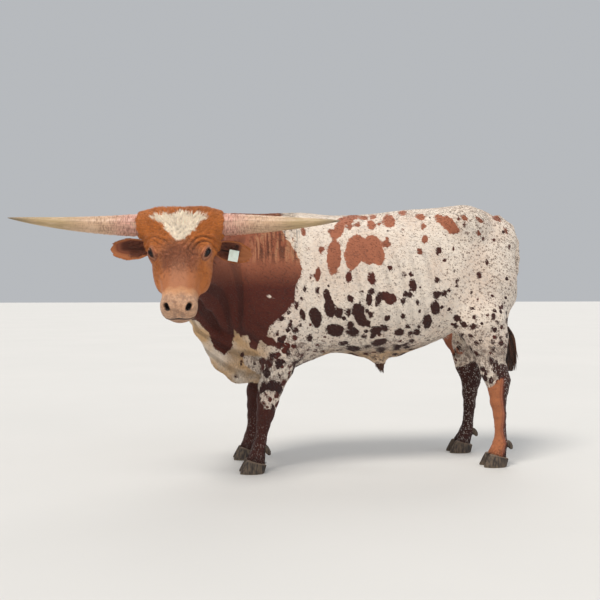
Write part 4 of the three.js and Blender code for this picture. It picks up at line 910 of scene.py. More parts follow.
def markings(points, normals):
    """Brown fields and spots at each point: the near side as seen, the far side made up."""
    x, y, z = points.T
    u, v, w = to_head(x, y, z)
    marks = Marks(len(points))
    column, row = seen_at(points)
    toward = unit(CAMERA_SPOT - points)
    near = (normals * toward).sum(1) > -0.05
    # The far side has the same shoulder patch, waved a little away from the back line
    drop = np.clip((1300 - z) / 300, 0, 1)
    mirror = points * (1, -1, 1) + np.stack(
        [drop * (34 * np.sin(z / 63) + 20), 0 * x, drop * 22 * np.sin(x / 71)], 1)
    far_column, far_row = seen_at(mirror)
    near_field = polygon_distance(column, row, SHOULDER_BROWN) * PIXEL
    far_field = polygon_distance(far_column, far_row, SHOULDER_BROWN) * PIXEL
    on_trunk = smooth_step(-430, -330, x)
    neck_field = (815 + 0.12 * x - z) * 0.9
    far_field = mix(neck_field, far_field, on_trunk)
    field = np.where(near, near_field, far_field)
    # Over the withers the edge of the brown wanders
    field = field + 26 * np.sin(y / 36 + 1.2 * np.sin(y / 17)) * smooth_step(1190, 1250, z) * on_trunk
    brown = np.where(z < 560, 60.0, field)
    head = by_head(u, v, w, 360, 300, -190)
    throat = (z < 900) & (y < -330) & (u > 200) & (w < -120)
    brown = np.where(head & ~throat, -60.0, brown)
    poll = smooth_step(150, 60, u - 0.45 * np.abs(v)) * head
    cheeks = smooth_step(60, 95, np.abs(v)) * smooth_step(170, 230, u) * head
    curly = smooth_step(290, 210, u) * smooth_step(105, 70, np.abs(v)) * smooth_step(60, 110, u)
    head_dark = mix(0.12, 0.0, np.maximum(poll, 0.85 * cheeks)) + 0.05 * curly * (1 - poll)
    # The red of neck and shoulder is painted darker towards the bottom as shade, and the orange of the
    # head passes gently into it
    neck_dark = mix(0.2, 0.62, smooth_step(1180, 900, z))
    marks.add(brown, mix(neck_dark, head_dark, head * smooth_step(-190, -95, w)))
    # White blaze on the forehead, a triangle that points down the face
    blaze = polygon_distance(v, u, BLAZE_OUTLINE)
    marks.distance = np.where(head & (w > -60), np.maximum(marks.distance, -blaze), marks.distance)
    for middle, spot in zip(SPOT_PLACES, NEAR_SPOTS):
        spot_column, spot_row, wide, tall, degrees, dark = spot
        close = near & (np.linalg.norm(points - middle, axis=1) < 60 + 12 * (wide + tall))
        ovals = oval_distance(column - spot_column, row - spot_row, wide, tall, degrees)
        marks.add(ovals * PIXEL, dark, close)
    patch = polygon_distance(column, row, BACK_PATCH) * PIXEL
    marks.add(patch, 0.3, near & (y < 60) & (z > 900))
    for spot_x, spot_z, wide, tall, degrees, dark in FAR_SPOTS:
        ovals = oval_distance(x - spot_x, z - spot_z, wide, tall, degrees)
        marks.add(ovals, dark, ~near & (y > 0))
    nick = oval_distance(column - WHITE_NICK[0], row - WHITE_NICK[1], *WHITE_NICK[2:]) * PIXEL
    marks.distance = np.where(near & (y < 0), np.maximum(marks.distance, -nick), marks.distance)
    marks.near, marks.column, marks.row, marks.blaze = near, column, row, blaze
    add_leg_marks(marks, x, y, z)
    return marks


def add_leg_marks(marks, x, y, z):
    wave = 14 * np.sin(x / 21) + 10 * np.sin(y / 13 + z / 29)
    fore = (x > -335) & (x < 60) & (z < 580) & (np.abs(y) > 92)
    left, right = fore & (y < 0), fore & (y > 0)
    dark = polygon_distance(marks.column, marks.row, FORE_DARK) * PIXEL + wave * 0.4
    marks.add(dark, 0.8, left & marks.near)
    marks.add(z - 470 + wave, 0.8, left & ~marks.near)
    marks.add(z - 520 + wave, 0.8, right)
    hind = (x > 760) & (z < 720)
    left, right = hind & (y < 0), hind & (y > 0)
    stations = np.array(HIND_LEG)[::-1]
    behind = x - np.interp(z, stations[:, 1], stations[:, 0])
    marks.add(z - 448 - 0.75 * (x - 1015) + wave * 0.6, 0.15, left)
    back = smooth_step(-16, 36, behind + wave * 0.8) * (left & (z < 500)) * (marks.distance < 0)
    marks.dark = mix(marks.dark, 0.85, back)
    marks.add(np.maximum(34 - behind, np.abs(z - 492) - 44) + wave * 0.4, 0.9, left)
    marks.add(z - 500 + wave, 0.9, right)
    patch = np.hypot((x - 897) / 38, (z - 630) / 64) - 1
    marks.add(patch * 50 + wave * 0.3, 0.3, (y > -30) & (y < 260) & (z < 740))


def on_limb(y, z):
    return (z < 590) & (np.abs(y) > 100)


def spottiness(x, y, z):
    """How thick the small flecks and the small spots lie at each place, from 0 to 1."""
    flecks = 0.38 + 0.3 * smooth_step(600, 900, x) + 0.3 * smooth_step(820, 640, z)
    legs = smooth_step(700, 600, z)
    elbow = smooth_step(-250, -190, x) * smooth_step(20, -60, x) * smooth_step(760, 660, z)
    flecks = flecks + 0.35 * np.maximum(legs, elbow)
    flecks = np.where((x > 760) & (y > 0) & (z < 640), 1.25, flecks)
    flecks = np.where((x < 0) & (z < 480), 0.9 + 0.14 * smooth_step(330, 180, z), flecks)
    spots = 0.3 + 0.45 * smooth_step(1080, 760, z) + 0.2 * smooth_step(880, 1080, x)
    spots = spots + 0.35 * legs + 0.55 * elbow
    brisket = smooth_step(-160, -260, x) * smooth_step(860, 760, z) * ~on_limb(y, z)
    head = y < -330
    return (np.where(head, 0, mix(flecks, 0.25, brisket)),
            np.where(head, 0, mix(spots, 0.3, brisket)))


def eye_shades(u, v, w):
    """Bare lining of the lids, their pale rims, painted shade in the creases round them, strongest
    above the eye, and their dark skin.
    """
    inner, rim, creases, lids = (np.zeros(len(u)) for _ in range(4))
    for centre, out, along, across in EYES.values():
        rel = np.stack([u, v, w], -1) - centre
        a, b, c = rel @ along, rel @ across, rel @ out
        ring = np.sqrt((a / LID["long"]) ** 2 + (b / LID["high"]) ** 2)
        at_eye = (c > 0) & (c < 45)
        corner = np.clip(np.abs(a) / LID["long"], 0, 1)
        above = b * np.sign(v) > 0
        inner = np.maximum(inner, smooth_step(1.3, 1.05, ring) * at_eye)
        rim = np.maximum(rim, bump_at(ring, 1.55, 0.24) * at_eye * (0.25 + 0.55 * corner))
        creases = np.maximum(creases, bump_at(ring, 2.25, 0.2) * at_eye * (0.4 + 0.6 * above))
        lids = np.maximum(lids, smooth_step(3.2, 1.6, ring) * at_eye)
    return inner, rim, creases, lids


def nostril_shades(u, v, w):
    """Painted shade inside the nostrils and the pale rims round them."""
    inner, rim = np.zeros(len(u)), np.zeros(len(u))
    for spot, out, along, across in NOSTRILS.values():
        rel = np.stack([u, v, w], -1) - spot
        hole = np.sqrt((rel @ along / 20) ** 2 + (rel @ across / 13) ** 2)
        at_nose = np.abs(rel @ out) < 45
        inner = np.maximum(inner, smooth_step(1.1, 0.8, hole) * at_nose)
        rim = np.maximum(rim, 0.7 * bump_at(hole, 1.4, 0.2) * at_nose)
    return inner, rim


def paint(mesh, points, normals, shade=None):
    """Writes the coat's markings on the corners of a mesh, given in draft millimetres, with painted
    shade low on the neck, in the troughs of folds, in the nostrils, along the mouth and under it.
    """
    marks = markings(points, normals)
    x, y, z = points.T
    u, v, w = to_head(x, y, z)
    flecks, spots = spottiness(x, y, z)
    head = by_head(u, v, w, 360, 300, -200)
    edge = u + 4 * np.sin(v / 9) + 0.12 * (w + 20)
    muzzle = smooth_step(336, 354, edge) * head
    bridge = smooth_step(52, 26, np.abs(v) - 0.06 * (u - 300)) * smooth_step(170, 250, u)
    lining, lid_rim, creases, lids = eye_shades(u, v, w)
    hollow, nostril_rim = nostril_shades(u, v, w)
    # Painted shade along the line of the mouth
    lips = smooth_step(8.5, 4, MOUTH_ROD(u, v, w) + 4.2) * head
    brisket = smooth_step(-150, -250, x) * smooth_step(850, 740, z) * ~head * ~on_limb(y, z)
    belly = 0.8 * smooth_step(640, 590, z) * (x > 100) * (x < 700)
    wrinkle = smooth_step(-300, -250, x) * smooth_step(0, -60, x) * smooth_step(1040, 1110, z)
    notes = {
        "mark": marks.distance * 0.01,
        "dark": marks.dark + 0.13 * lids,
        "flecks": flecks,
        "spots": spots,
        "muzzle": muzzle,
        "snout": smooth_step(392, 352, edge) * smooth_step(-60, -20, w),
        # Painted shade under the mouth, on the muzzle below the mouth line
        "under_mouth_shade": smooth_step(-44, -62, w) * muzzle,
        "bridge": bridge * (w > -20) * head,
        # Lining of the lids, with painted shade in the nostrils and along the mouth
        "bare_and_shade": np.maximum(np.maximum(lining, hollow), lips),
        "tan": np.maximum(brisket, belly),
        "wrinkle": wrinkle * (y < 0),
        "bright": (head & (w > -60)) * smooth_step(20, 0, marks.blaze),
        "rim": np.maximum(lid_rim, nostril_rim),
        "shade": np.zeros(len(points)) if shade is None else shade,
        # Painted shade in the troughs of the folds and in the creases round the eyes
        "fold_shade": np.clip(relief(x, y, z, u, v, w) / 3 - creases, -1, 1),
    }
    for name, values in notes.items():
        note(mesh, name, values)
    note(mesh, "root", to_row(points), "FLOAT_VECTOR")


# How far inside a marking a piece counts that is all of one colour, in tenths of a metre
DEEP_IN_MARK = -0.6
# Notes that such a piece has at nought
PLAIN_NOTES = (
    "bridge", "muzzle", "snout", "under_mouth_shade", "tan", "fold_shade", "bright", "rim", "wrinkle", "flecks", "spots",
)


# Shader maths: a socket whose operators add the nodes they need
class Wire:
    def __init__(self, material, socket):
        self.material, self.socket = material, socket

    def math(self, operation, *others):
        return self.material.add(
            "ShaderNodeMath", {"operation": operation},
            {n: value for n, value in enumerate((self, *others))}).out()

    def __add__(self, other):
        return self.math("ADD", other)

    def __sub__(self, other):
        return self.math("SUBTRACT", other)

    def __mul__(self, other):
        return self.math("MULTIPLY", other)

    def __rsub__(self, other):
        return (self * -1) + other

    __radd__, __rmul__ = __add__, __mul__

    def steps(self, low, high):
        """From 0 to 1, smoothly, as the value goes from low to high."""
        return self.material.add(
            "ShaderNodeMapRange", {"interpolation_type": "SMOOTHSTEP"},
            {"Value": self, "From Min": low, "From Max": high}).out("Result")


class Node:
    def __init__(self, material, node):
        self.material, self.node = material, node

    def out(self, name=0):
        return Wire(self.material, self.node.outputs[name])


class Material:
    """A material with a Principled shader and one way to add any other node."""

    def __init__(self, name, **constants):
        self.data = bpy.data.materials.new(name)
        self.data.use_nodes = True
        self.tree = self.data.node_tree
        self.shader = self.tree.nodes["Principled BSDF"]
        for key, value in constants.items():
            self.shader.inputs[key.replace("_", " ")].default_value = value

    def add(self, kind, settings=None, inputs=None):
        node = self.tree.nodes.new(kind)
        for key, value in (settings or {}).items():
            setattr(node, key, value)
        for key, value in (inputs or {}).items():
            self.join(node.inputs[key], value)
        return Node(self, node)

    def join(self, socket, value):
        if isinstance(value, Wire):
            self.tree.links.new(value.socket, socket)
        else:
            socket.default_value = value

    def read(self, name, output="Fac"):
        return self.add("ShaderNodeAttribute", {"attribute_name": name}).out(output)

    def ramp(self, value, stops):
        node = self.add("ShaderNodeValToRGB", {}, {0: value})
        marks = node.node.color_ramp.elements
        marks[0].position, marks[0].color = stops[0]
        marks[1].position, marks[1].color = stops[-1]
        for position, colour in stops[1:-1]:
            marks.new(position).color = colour
        return node.out("Color")

    def noise(self, place, scale, detail=3.0, stretch=None, rough=0.55):
        if stretch:
            place = self.add("ShaderNodeVectorMath", {"operation": "MULTIPLY"},
                             {0: place, 1: stretch}).out()
        return self.add("ShaderNodeTexNoise", {},
                        {"Vector": place, "Scale": scale, "Detail": detail,
                         "Roughness": rough}).out("Fac")

    def cells(self, place, scale, output="Distance"):
        return self.add("ShaderNodeTexVoronoi", {}, {"Vector": place, "Scale": scale}).out(output)

    def blend(self, share, a, b, kind="MIX"):
        node = self.add("ShaderNodeMix", {"data_type": "RGBA", "blend_type": kind},
                        {0: share, 6: a, 7: b})
        return node.out(2)

    def scaled(self, colour, by):
        return self.add("ShaderNodeVectorMath", {"operation": "SCALE"},
                        {0: colour, "Scale": by}).out()

    def bump(self, height, distance, strength=1.0):
        node = self.add("ShaderNodeBump", {},
                        {"Height": height, "Distance": distance, "Strength": strength})
        self.join(self.shader.inputs["Normal"], node.out())

    def set(self, **inputs):
        for key, value in inputs.items():
            self.join(self.shader.inputs[key.replace("_", " ")], value)


def tone(red, green, blue):
    """A colour given as it shows on a screen, from 0 to 255."""
    def linear(c):
        c = c / 255
        return c / 12.92 if c < 0.04045 else ((c + 0.055) / 1.055) ** 2.4
    return (linear(red), linear(green), linear(blue), 1.0)


CREAM, WARM_CREAM, GREY_CREAM = tone(232, 218, 202), tone(222, 202, 184), tone(192, 182, 174)
FLECK, RUST, DARK_SPOT_AND_SHADE = tone(132, 112, 100), tone(168, 102, 74), tone(50, 19, 14)
POLL_ORANGE, NECK_RED, DEEP_RED_AND_SHADE = tone(200, 116, 50), tone(146, 82, 56), tone(82, 31, 20)
MUZZLE_PINK, MUZZLE_TAN, DARK_SKIN_AND_SHADE = tone(208, 163, 130), tone(178, 134, 104), tone(34, 22, 20)
TAN, BRIDGE_PINK, BLAZE_WHITE = tone(204, 167, 124), tone(178, 122, 92), tone(255, 238, 214)
FACE_BROWN, SNOUT_TAN, SHADE_UNDER_MOUTH = tone(188, 118, 76), tone(210, 146, 98), tone(150, 102, 66)
MUZZLE_GREY, HAIR_DARK, HAIR_BROWN = tone(140, 108, 90), tone(40, 22, 16), tone(118, 72, 46)
HORN_PINK, HORN_BUFF, HORN_STRAW = tone(212, 158, 140), tone(208, 172, 140), tone(182, 156, 116)
HORN_TIP, HORN_PALE = tone(120, 108, 86), tone(222, 190, 160)
HORN_FLAKE, HORN_FIBRE = tone(112, 74, 62), tone(112, 84, 62)
EYE_BROWN, EYE_BLACK = tone(36, 20, 12), tone(16, 9, 7)
EYE_RIM, PUPIL = tone(64, 46, 38), tone(8, 8, 12)
HOOF_DARK, HOOF_HORN = tone(46, 38, 34), tone(104, 88, 72)
HOOF_TOP, HOOF_EDGE = tone(130, 108, 90), tone(120, 106, 86)
TAG_PALE, TAG_GRIME = tone(222, 234, 222), tone(176, 178, 156)
FLOOR_DULL, FLOOR_PALE = tone(204, 203, 200), tone(212, 210, 207)


def coat_material(name):
    m = Material(name, Specular_IOR_Level=0.25, Sheen_Weight=0.12, Sheen_Roughness=0.5)
    root = m.read("root", "Vector")
    mark, dark = m.read("mark"), m.read("dark")
    broad = m.noise(root, 5.5, 3)
    fine = m.noise(root, 62, 4)
    hair = m.noise(root, 240, 3, (0.35, 1.0, 1.0))
    ragged = mark + (fine - 0.5) * 0.24 + (m.noise(root, 24, 2) - 0.5) * 0.2
    in_mark = ragged.steps(0.03, -0.03)
    cream = m.blend(broad.steps(0.38, 0.66), CREAM, WARM_CREAM)
    cream = m.blend(fine.steps(0.42, 0.7) * 0.5, cream, GREY_CREAM)
    cream = m.blend(m.read("tan") * broad.steps(0.25, 0.6), cream, TAN)
    cream = m.blend(m.read("bright") * (0.7 + fine * 0.5), cream, BLAZE_WHITE)
    # Flecks of a few millimetres, thick on the quarter and the legs
    flecks = m.read("flecks")
    draw = m.add("ShaderNodeSeparateColor", {}, {0: m.cells(root, 88, "Color")}).out()
    fleck = (m.cells(root, 88) - flecks * (draw * 0.8)).steps(0.1, -0.06)
    cream = m.blend(fleck * (0.5 + draw * 0.4), cream, FLECK)
    # Spots of one to three centimetres
    bent = m.add("ShaderNodeVectorMath", {"operation": "MULTIPLY_ADD"},
                 {0: m.add("ShaderNodeTexNoise", {}, {"Vector": root, "Scale": 60.0}).out("Color"),
                  1: (0.012, 0.012, 0.012), 2: root}).out()
    draw = m.add("ShaderNodeSeparateColor", {}, {0: m.cells(bent, 25, "Color")}).out()
    size = (draw - (1 - m.read("spots") * 0.8)) * 0.62
    loose = (m.cells(bent, 25) - size).steps(0.02, -0.02) * size.steps(0.04, 0.07)
    colour = m.blend(loose, cream, m.blend(draw.steps(0.7, 0.9), DEEP_RED_AND_SHADE, DARK_SPOT_AND_SHADE))
    # Red of the markings by their darkness; the darker end also serves as painted shade low on the neck
    # and shoulder and on the lower spots
    red = m.ramp(dark, ((0.0, POLL_ORANGE), (0.12, FACE_BROWN), (0.2, NECK_RED), (0.3, RUST),
                        (0.6, DEEP_RED_AND_SHADE), (0.9, DARK_SPOT_AND_SHADE)))
    brown = m.blend(broad.steps(0.35, 0.7) * 0.35, red, m.blend(0.5, red, DEEP_RED_AND_SHADE))
    brown = m.blend(hair.steps(0.5, 0.8) * 0.16, brown, m.blend(0.5, brown, TAN))
    # White hairs scattered through the dark of the legs
    speck = m.cells(root, 95).steps(0.36, 0.24) * flecks.steps(0.9, 1.2) * dark.steps(0.5, 0.7)
    brown = m.blend(speck * 0.6, brown, GREY_CREAM)
    colour = m.blend(in_mark, colour, brown)
    bridge = m.read("bridge")
    colour = m.blend(bridge * (0.35 + fine * 0.5), colour, BRIDGE_PINK)
    muzzle = m.read("muzzle")
    pad = m.blend(fine.steps(0.4, 0.65), MUZZLE_PINK, MUZZLE_TAN)
    pad = m.blend(m.noise(root, 190, 3).steps(0.5, 0.68) * 0.5, pad, FLECK)
    pad = m.blend(m.noise(root, 34, 3).steps(0.5, 0.64) * 0.55, pad, MUZZLE_GREY)
    pad = m.blend(m.read("snout") * 0.75, pad, SNOUT_TAN)
    # Painted shade under the mouth
    pad = m.blend(m.read("under_mouth_shade") * (0.35 + fine * 0.6), pad, SHADE_UNDER_MOUTH)
    colour = m.blend(muzzle, colour, pad)
    # Painted shade in the troughs of folds, wrinkles and the creases round the eyes
    colour = m.blend(m.read("fold_shade").steps(0.0, -1.0) * 0.6, colour, m.blend(0.6, colour, DARK_SKIN_AND_SHADE))
    bare_and_shade = m.read("bare_and_shade")
    # Dark lining of the lids, and painted shade in the nostrils, along the mouth and in the ear cups
    colour = m.blend(bare_and_shade, colour, DARK_SKIN_AND_SHADE)
    colour = m.blend(hair.steps(0.5, 0.2) * 0.22, colour, m.blend(0.5, colour, DARK_SKIN_AND_SHADE))
    colour = m.blend(m.read("rim") * 0.75, colour, m.blend(0.6, colour, MUZZLE_PINK))
    streaks = m.noise(root, 42, 4, (2.2, 0.5, 0.12))
    wrinkle = m.read("wrinkle")
    colour = m.blend(wrinkle * streaks.steps(0.5, 0.58) * 0.5, colour, m.blend(0.5, colour, TAN))
    # Each lock a little lighter or darker at random; on the head this adds painted light on the ridges
    # of folds and painted shade in their troughs
    colour = m.scaled(colour, 1 + m.read("shade") * 0.55 - wrinkle * streaks.steps(0.49, 0.4) * 0.55)
    m.set(Base_Color=colour, Roughness=0.72 - muzzle * 0.25 - bare_and_shade * 0.2 + (hair - 0.5) * 0.2)
    pores = m.cells(root, 420) * muzzle
    m.bump(hair * (1 - muzzle) + fine * 0.6 + pores * 0.8 + wrinkle * streaks * 1.5, 0.0022, 0.7)
    return m.data


# The skin
class Hide:
    """The skin's corners, the ways they face and its triangles, for setting tufts on it."""

    def __init__(self, mesh):
        self.points, self.normals = corners_of(mesh), normals_of(mesh)
        flat = np.empty(len(mesh.polygons) * 3, np.int32)
        mesh.polygons.foreach_get("vertices", flat)
        self.triangles = flat.reshape(-1, 3)
        a, b, c = (self.points[self.triangles[:, n]] for n in range(3))
        self.middles = (a + b + c) / 3
        self.areas = np.linalg.norm(np.cross(b - a, c - a), axis=1) / 2

    def scatter(self, weight, count, seed):
        """Random places over the skin, thicker where the weight is larger."""
        random = np.random.default_rng(seed)
        share = np.cumsum(self.areas * np.maximum(weight(*self.middles.T), 0))
        picked = np.searchsorted(share, random.random(count) * share[-1])
        corners = self.triangles[np.minimum(picked, len(self.triangles) - 1)]
        a, b = random.random((2, count, 1))
        a, b = np.where(a + b > 1, 1 - a, a), np.where(a + b > 1, 1 - b, b)
        parts = [1 - a - b, a, b]
        spots = sum(self.points[corners[:, n]] * part for n, part in enumerate(parts))
        facing = sum(self.normals[corners[:, n]] * part for n, part in enumerate(parts))
        return spots, unit(facing), random


def make_skin(material):
    mesh = skin_mesh()
    hide = Hide(mesh)
    points = hide.points
    paint(mesh, points, hide.normals)
    mesh.vertices.foreach_set("co", to_row(points).ravel())
    mesh.update()
    nodes = ["torso", "neck", "head", "tail", "sheath", "scrotum"]
    nodes += [f"leg_{name}" for name in LEGS]
    piece("skin", mesh, material, nodes)
    return hide


def hair_material(name):
    """Long dark hair of the switch, the brush and the ears, paler where its shade is high."""
    m = Material(name, Specular_IOR_Level=0.4, Sheen_Weight=0.1)
    root = m.read("root", "Vector")
    shade = m.read("shade")
    strand = m.noise(root, 300, 3, (1.0, 1.0, 0.2))
    colour = m.blend((shade * 0.7 + strand * 0.5).steps(0.0, 0.9), HAIR_DARK, HAIR_BROWN)
    m.set(Base_Color=colour, Roughness=0.5 + strand * 0.25)
    m.bump(strand, 0.001, 0.5)
    return m.data


# Horns
def horn_curve(side):
    size = HORN[side]
    s, c = math.sin(HEAD_PITCH), math.cos(HEAD_PITCH)
    root = np.array([YOKE["place"], side * (HAIR_END[side] - 14), 0.0])
    bend = np.array([YOKE["place"] + 12, side * (YOKE["reach"] + size["reach"] * 0.5), 16])
    tip = np.array([
        YOKE["place"] + size["forward"] * s - size["up"] * c,
        side * (YOKE["reach"] + size["reach"]),
        size["forward"] * c + size["up"] * s,
    ])
    return root, bend, tip


HORN_ROWS, HORN_SIDES = 150, 56


def horn_mesh(side):
    root, bend, tip = horn_curve(side)
    rings, along, turn = [], [], []
    angles = np.linspace(0, 2 * math.pi, HORN_SIDES, endpoint=False)
    for i in range(HORN_ROWS):
        t = (i / (HORN_ROWS - 1)) ** 0.9 * 0.999
        centre = root * (1 - t) ** 2 + bend * 2 * t * (1 - t) + tip * t * t
        way = unit((bend - root) * (1 - t) + (tip - bend) * t)
        across = unit(np.array([1.0, 0, 0]) - way * way[0])
        out = np.cross(way, across)
        radius = HORN["base"] * (1 - t) ** HORN["power"] * (0.985 - 0.05 * bump_at(t, 0.02, 0.03))
        rough = 1 - smooth_step(0.1, 0.6, t)
        rings_of_growth = np.sin(t * 150 + 2.2 * np.sin(3 * angles) + 1.4 * np.sin(t * 41))
        flakes = np.sin(7 * angles + 3 * np.sin(t * 23)) * np.sin(t * 88 + 2 * angles)
        fibres = np.sin(23 * angles + 2 * np.sin(t * 9 + 2 * angles))
        size = radius + rough * (0.8 * rings_of_growth + 0.9 * flakes) \
            + 0.35 * fibres * (1 - t) - 0.6 * rough
        rings.append(centre + across * (np.cos(angles) * size)[:, None]
                     + out * (np.sin(angles) * size * HORN["flatness"])[:, None])
        along.append(np.full(HORN_SIDES, t))
        turn.append(angles)
    points = from_head(np.reshape(rings, (-1, 3))).reshape(HORN_ROWS, HORN_SIDES, 3)
    mesh = tube_mesh("horn", to_row(points))
    note(mesh, "along", [*np.ravel(along), 0, 1])
    note(mesh, "turn", [*np.sin(np.ravel(turn)), 0, 0])
    note(mesh, "turn_other", [*np.cos(np.ravel(turn)), 0, 0])
    return mesh


def horn_material():
    m = Material("horn", Specular_IOR_Level=0.45)
    along = m.read("along")
    place = m.add("ShaderNodeCombineXYZ", {}, {
        0: along * 7, 1: m.read("turn"), 2: m.read("turn_other")}).out()
    fibres = m.noise(place, 3.2, 5, (0.35, 3.0, 3.0))
    bands = m.noise(place, 3.0, 4, (7.0, 0.7, 0.7))
    blotch = m.noise(place, 1.3, 3)
    colour = m.blend(along.steps(0.05, 0.34), HORN_PINK, HORN_BUFF)
    colour = m.blend(along.steps(0.36, 0.66), colour, HORN_STRAW)
    colour = m.blend(along.steps(0.78, 1.0), colour, HORN_TIP)
    flaky = bands.steps(0.46, 0.62) * along.steps(0.75, 0.1)
    colour = m.blend(flaky * 0.7, colour, HORN_FLAKE)
    colour = m.blend(fibres.steps(0.46, 0.7) * 0.5, colour, HORN_FIBRE)
    colour = m.blend(blotch.steps(0.5, 0.7) * 0.4, colour, HORN_PALE)
    m.set(Base_Color=colour, Roughness=0.36 + flaky * 0.3 + (fibres - 0.5) * 0.2)
    m.bump(bands * along.steps(0.8, 0.1) + fibres * 0.7, 0.0016, 0.8)
    return m.data


# Eyes
def eye_mesh(side):
    centre, out, along, across = EYES[side]
    rows, columns = 36, 48
    points, gaze = [], []
    for i in range(rows):
        angle = math.pi * (i + 0.5) / rows
        for n in range(columns):
            turn = 2 * math.pi * n / columns
            a, b = math.sin(angle) * math.cos(turn), math.sin(angle) * math.sin(turn)
            swell = 1 + 0.035 * float(smooth_step(0.75, 0.2, angle))
            spot = (along * a + across * b + out * math.cos(angle)) * EYE["radius"] * swell
            points.append(centre + spot)
            gaze.append((a * EYE["radius"], b * EYE["radius"], math.cos(angle) * EYE["radius"]))
    rings = from_head(points).reshape(rows, columns, 3)
    mesh = tube_mesh("eye", to_row(rings))
    ends = [(0, 0, EYE["radius"]), (0, 0, -EYE["radius"])]
    note(mesh, "gaze", np.array(gaze + ends) * MM, "FLOAT_VECTOR")
    return mesh


def eye_material():
    m = Material("eye", Roughness=0.16, Coat_Roughness=0.05, Specular_IOR_Level=0.25)
    gaze = m.read("gaze", "Vector")
    parts = m.add("ShaderNodeSeparateXYZ", {}, {0: gaze})
    a, b = parts.out(0), parts.out(1)
    ring = (a * a + b * b).math("SQRT")
    pupil = (a * a * 0.32 + b * b).math("SQRT").steps(0.0045, 0.0036)
    streaks = m.noise(gaze, 520, 3)
    colour = m.blend(streaks, EYE_BROWN, EYE_BLACK)
    colour = m.blend(ring.steps(0.0125, 0.0155), colour, EYE_RIM)
    colour = m.blend(pupil, colour, PUPIL)
    m.set(Base_Color=colour)
    m.shader.inputs["Coat Weight"].default_value = 0.1
    return m.data


# Ears
def ear_axes(side):
    way = unit(np.array(EAR_WAY[side], float))
    back = HEAD_AXES @ FORWARD
    face = unit(back - way * (back @ way))
    return way, face, np.cross(face, way), np.multiply(EAR["root"], (1, side, 1))


EAR_ROWS, EAR_COLUMNS = 46, 26


def ear_point(side, t, share, lift):
    """A point of the ear: along it, across it from -1 to 1, and how far in from its back."""
    way, face, across, root = ear_axes(side)
    leaf = mix(0.5, 1, math.sin(math.pi * t)) if t < 0.5 \
        else max(1 - abs(2 * t / 1.04 - 0.96) ** 2, 0) ** 0.68
    half = EAR["width"] / 2 * leaf * (1 + 0.025 * math.sin(t * 19 + share * 3))
    opening = mix(1.35, 0.62, t)
    radius = half / math.sin(opening)
    angle = share * opening
    centre = root + way * (EAR["length"] * t) + face * (radius * math.cos(opening))
    return centre + across * (math.sin(angle) * (radius - lift)) \
        - face * (math.cos(angle) * (radius - lift))


def ear_mesh(side):
    rings, inner = [], []
    shares = np.linspace(-1, 1, EAR_COLUMNS)
    for i in range(EAR_ROWS):
        t = -0.05 + 1.068 * i / (EAR_ROWS - 1)
        at = max(t, 0.0)
        push = ear_axes(side)[0] * (EAR["length"] * min(t, 0.0))
        outer = [ear_point(side, at, s, 0.4) + push for s in shares]
        inside = []
        for s in shares[::-1]:
            thick = EAR["thickness"] * (1 - 0.62 * s * s) * (1 - 0.4 * at)
            ribs = 1.3 * math.sin(s * 11) * math.sin(math.pi * at)
            inside.append(ear_point(side, at, s * 0.985, thick + ribs) + push)
        rings.append(outer + inside)
        inner.append([0.0] * EAR_COLUMNS + [1.0] * EAR_COLUMNS)
    rings = from_head(np.reshape(rings, (-1, 3))).reshape(EAR_ROWS, 2 * EAR_COLUMNS, 3)
    mesh = tube_mesh("ear", rings)
    points = corners_of(mesh)
    inside = np.array([*np.ravel(inner), 0, 0])
    paint(mesh, points, normals_of(mesh))
    count = len(points)
    ring_at = np.minimum(np.arange(count) // (2 * EAR_COLUMNS), EAR_ROWS - 1) / EAR_ROWS
    cover(mesh, "mark", np.full(count, DEEP_IN_MARK))
    share = np.tile(np.r_[np.linspace(-1, 1, EAR_COLUMNS), np.linspace(1, -1, EAR_COLUMNS)],
                    EAR_ROWS)
    share = np.append(share, [0, 0])
    # Painted shade in the cup: darkest under its upper rim and towards the root, and deeper in the left
    # ear
    rise = side * share
    cup = inside * smooth_step(0.92, 0.7, np.abs(share)) * smooth_step(-0.55, 0.1, rise)
    cup = cup * (smooth_step(0.72, 0.6, ring_at) if side > 0 else smooth_step(0.9, 0.66, ring_at))
    cover(mesh, "dark", 0.02 + 0.1 * inside + 0.42 * cup)
    cover(mesh, "bare_and_shade", cup * (0.8 if side > 0 else 0.35))
    for name in PLAIN_NOTES:
        cover(mesh, name, np.zeros(count))
    mesh.vertices.foreach_set("co", to_row(points).ravel())
    mesh.update()
    return mesh


def cover(mesh, name, values):
    """Writes new values over a note."""
    mesh.attributes[name].data.foreach_set("value", np.asarray(values, float))


# Hooves
CLAW_ROWS, CLAW_SIDES = 30, 40


def claw_mesh(name, side):
    foot_x = leg_stations(name)[-1][0]
    centre_y = LEGS[name][1] + side * (HOOF["split"] / 2 + HOOF["width"] / 2)
    angles = np.linspace(0, 2 * math.pi, CLAW_SIDES, endpoint=False)
    c, s = np.cos(angles), np.sin(angles)
    rings, rise = [], []
    for i in range(CLAW_ROWS):
        t = (i / (CLAW_ROWS - 1)) ** 1.2
        size = mix(0.93, 1 - 0.2 * t, float(smooth_step(0, 0.09, t)))
        size = size * (1 - 0.16 * float(smooth_step(0.93, 1, t)))
        ridge = 0.006 * math.sin(t * 46) * float(smooth_step(0.1, 0.2, t))
        inner = mix(1, 0.78, smooth_step(-0.1, 0.5, -s * side))
        x = foot_x - 12 + HOOF["slope"] * (t - 0.5) - c * HOOF["length"] / 2 * (size + ridge)
        y = centre_y + s * (HOOF["width"] / 2) * inner * (size + ridge) \
            * (1 - 0.16 * np.maximum(c, 0)) - side * 3 * t
        rings.append(np.stack([x, y, t * (foot_plane(name, x) - 0.3)], 1))
        rise.append(np.full(CLAW_SIDES, t))
    mesh = tube_mesh("claw", to_row(rings))
    note(mesh, "rise", [*np.ravel(rise), 0, 1])
    return mesh


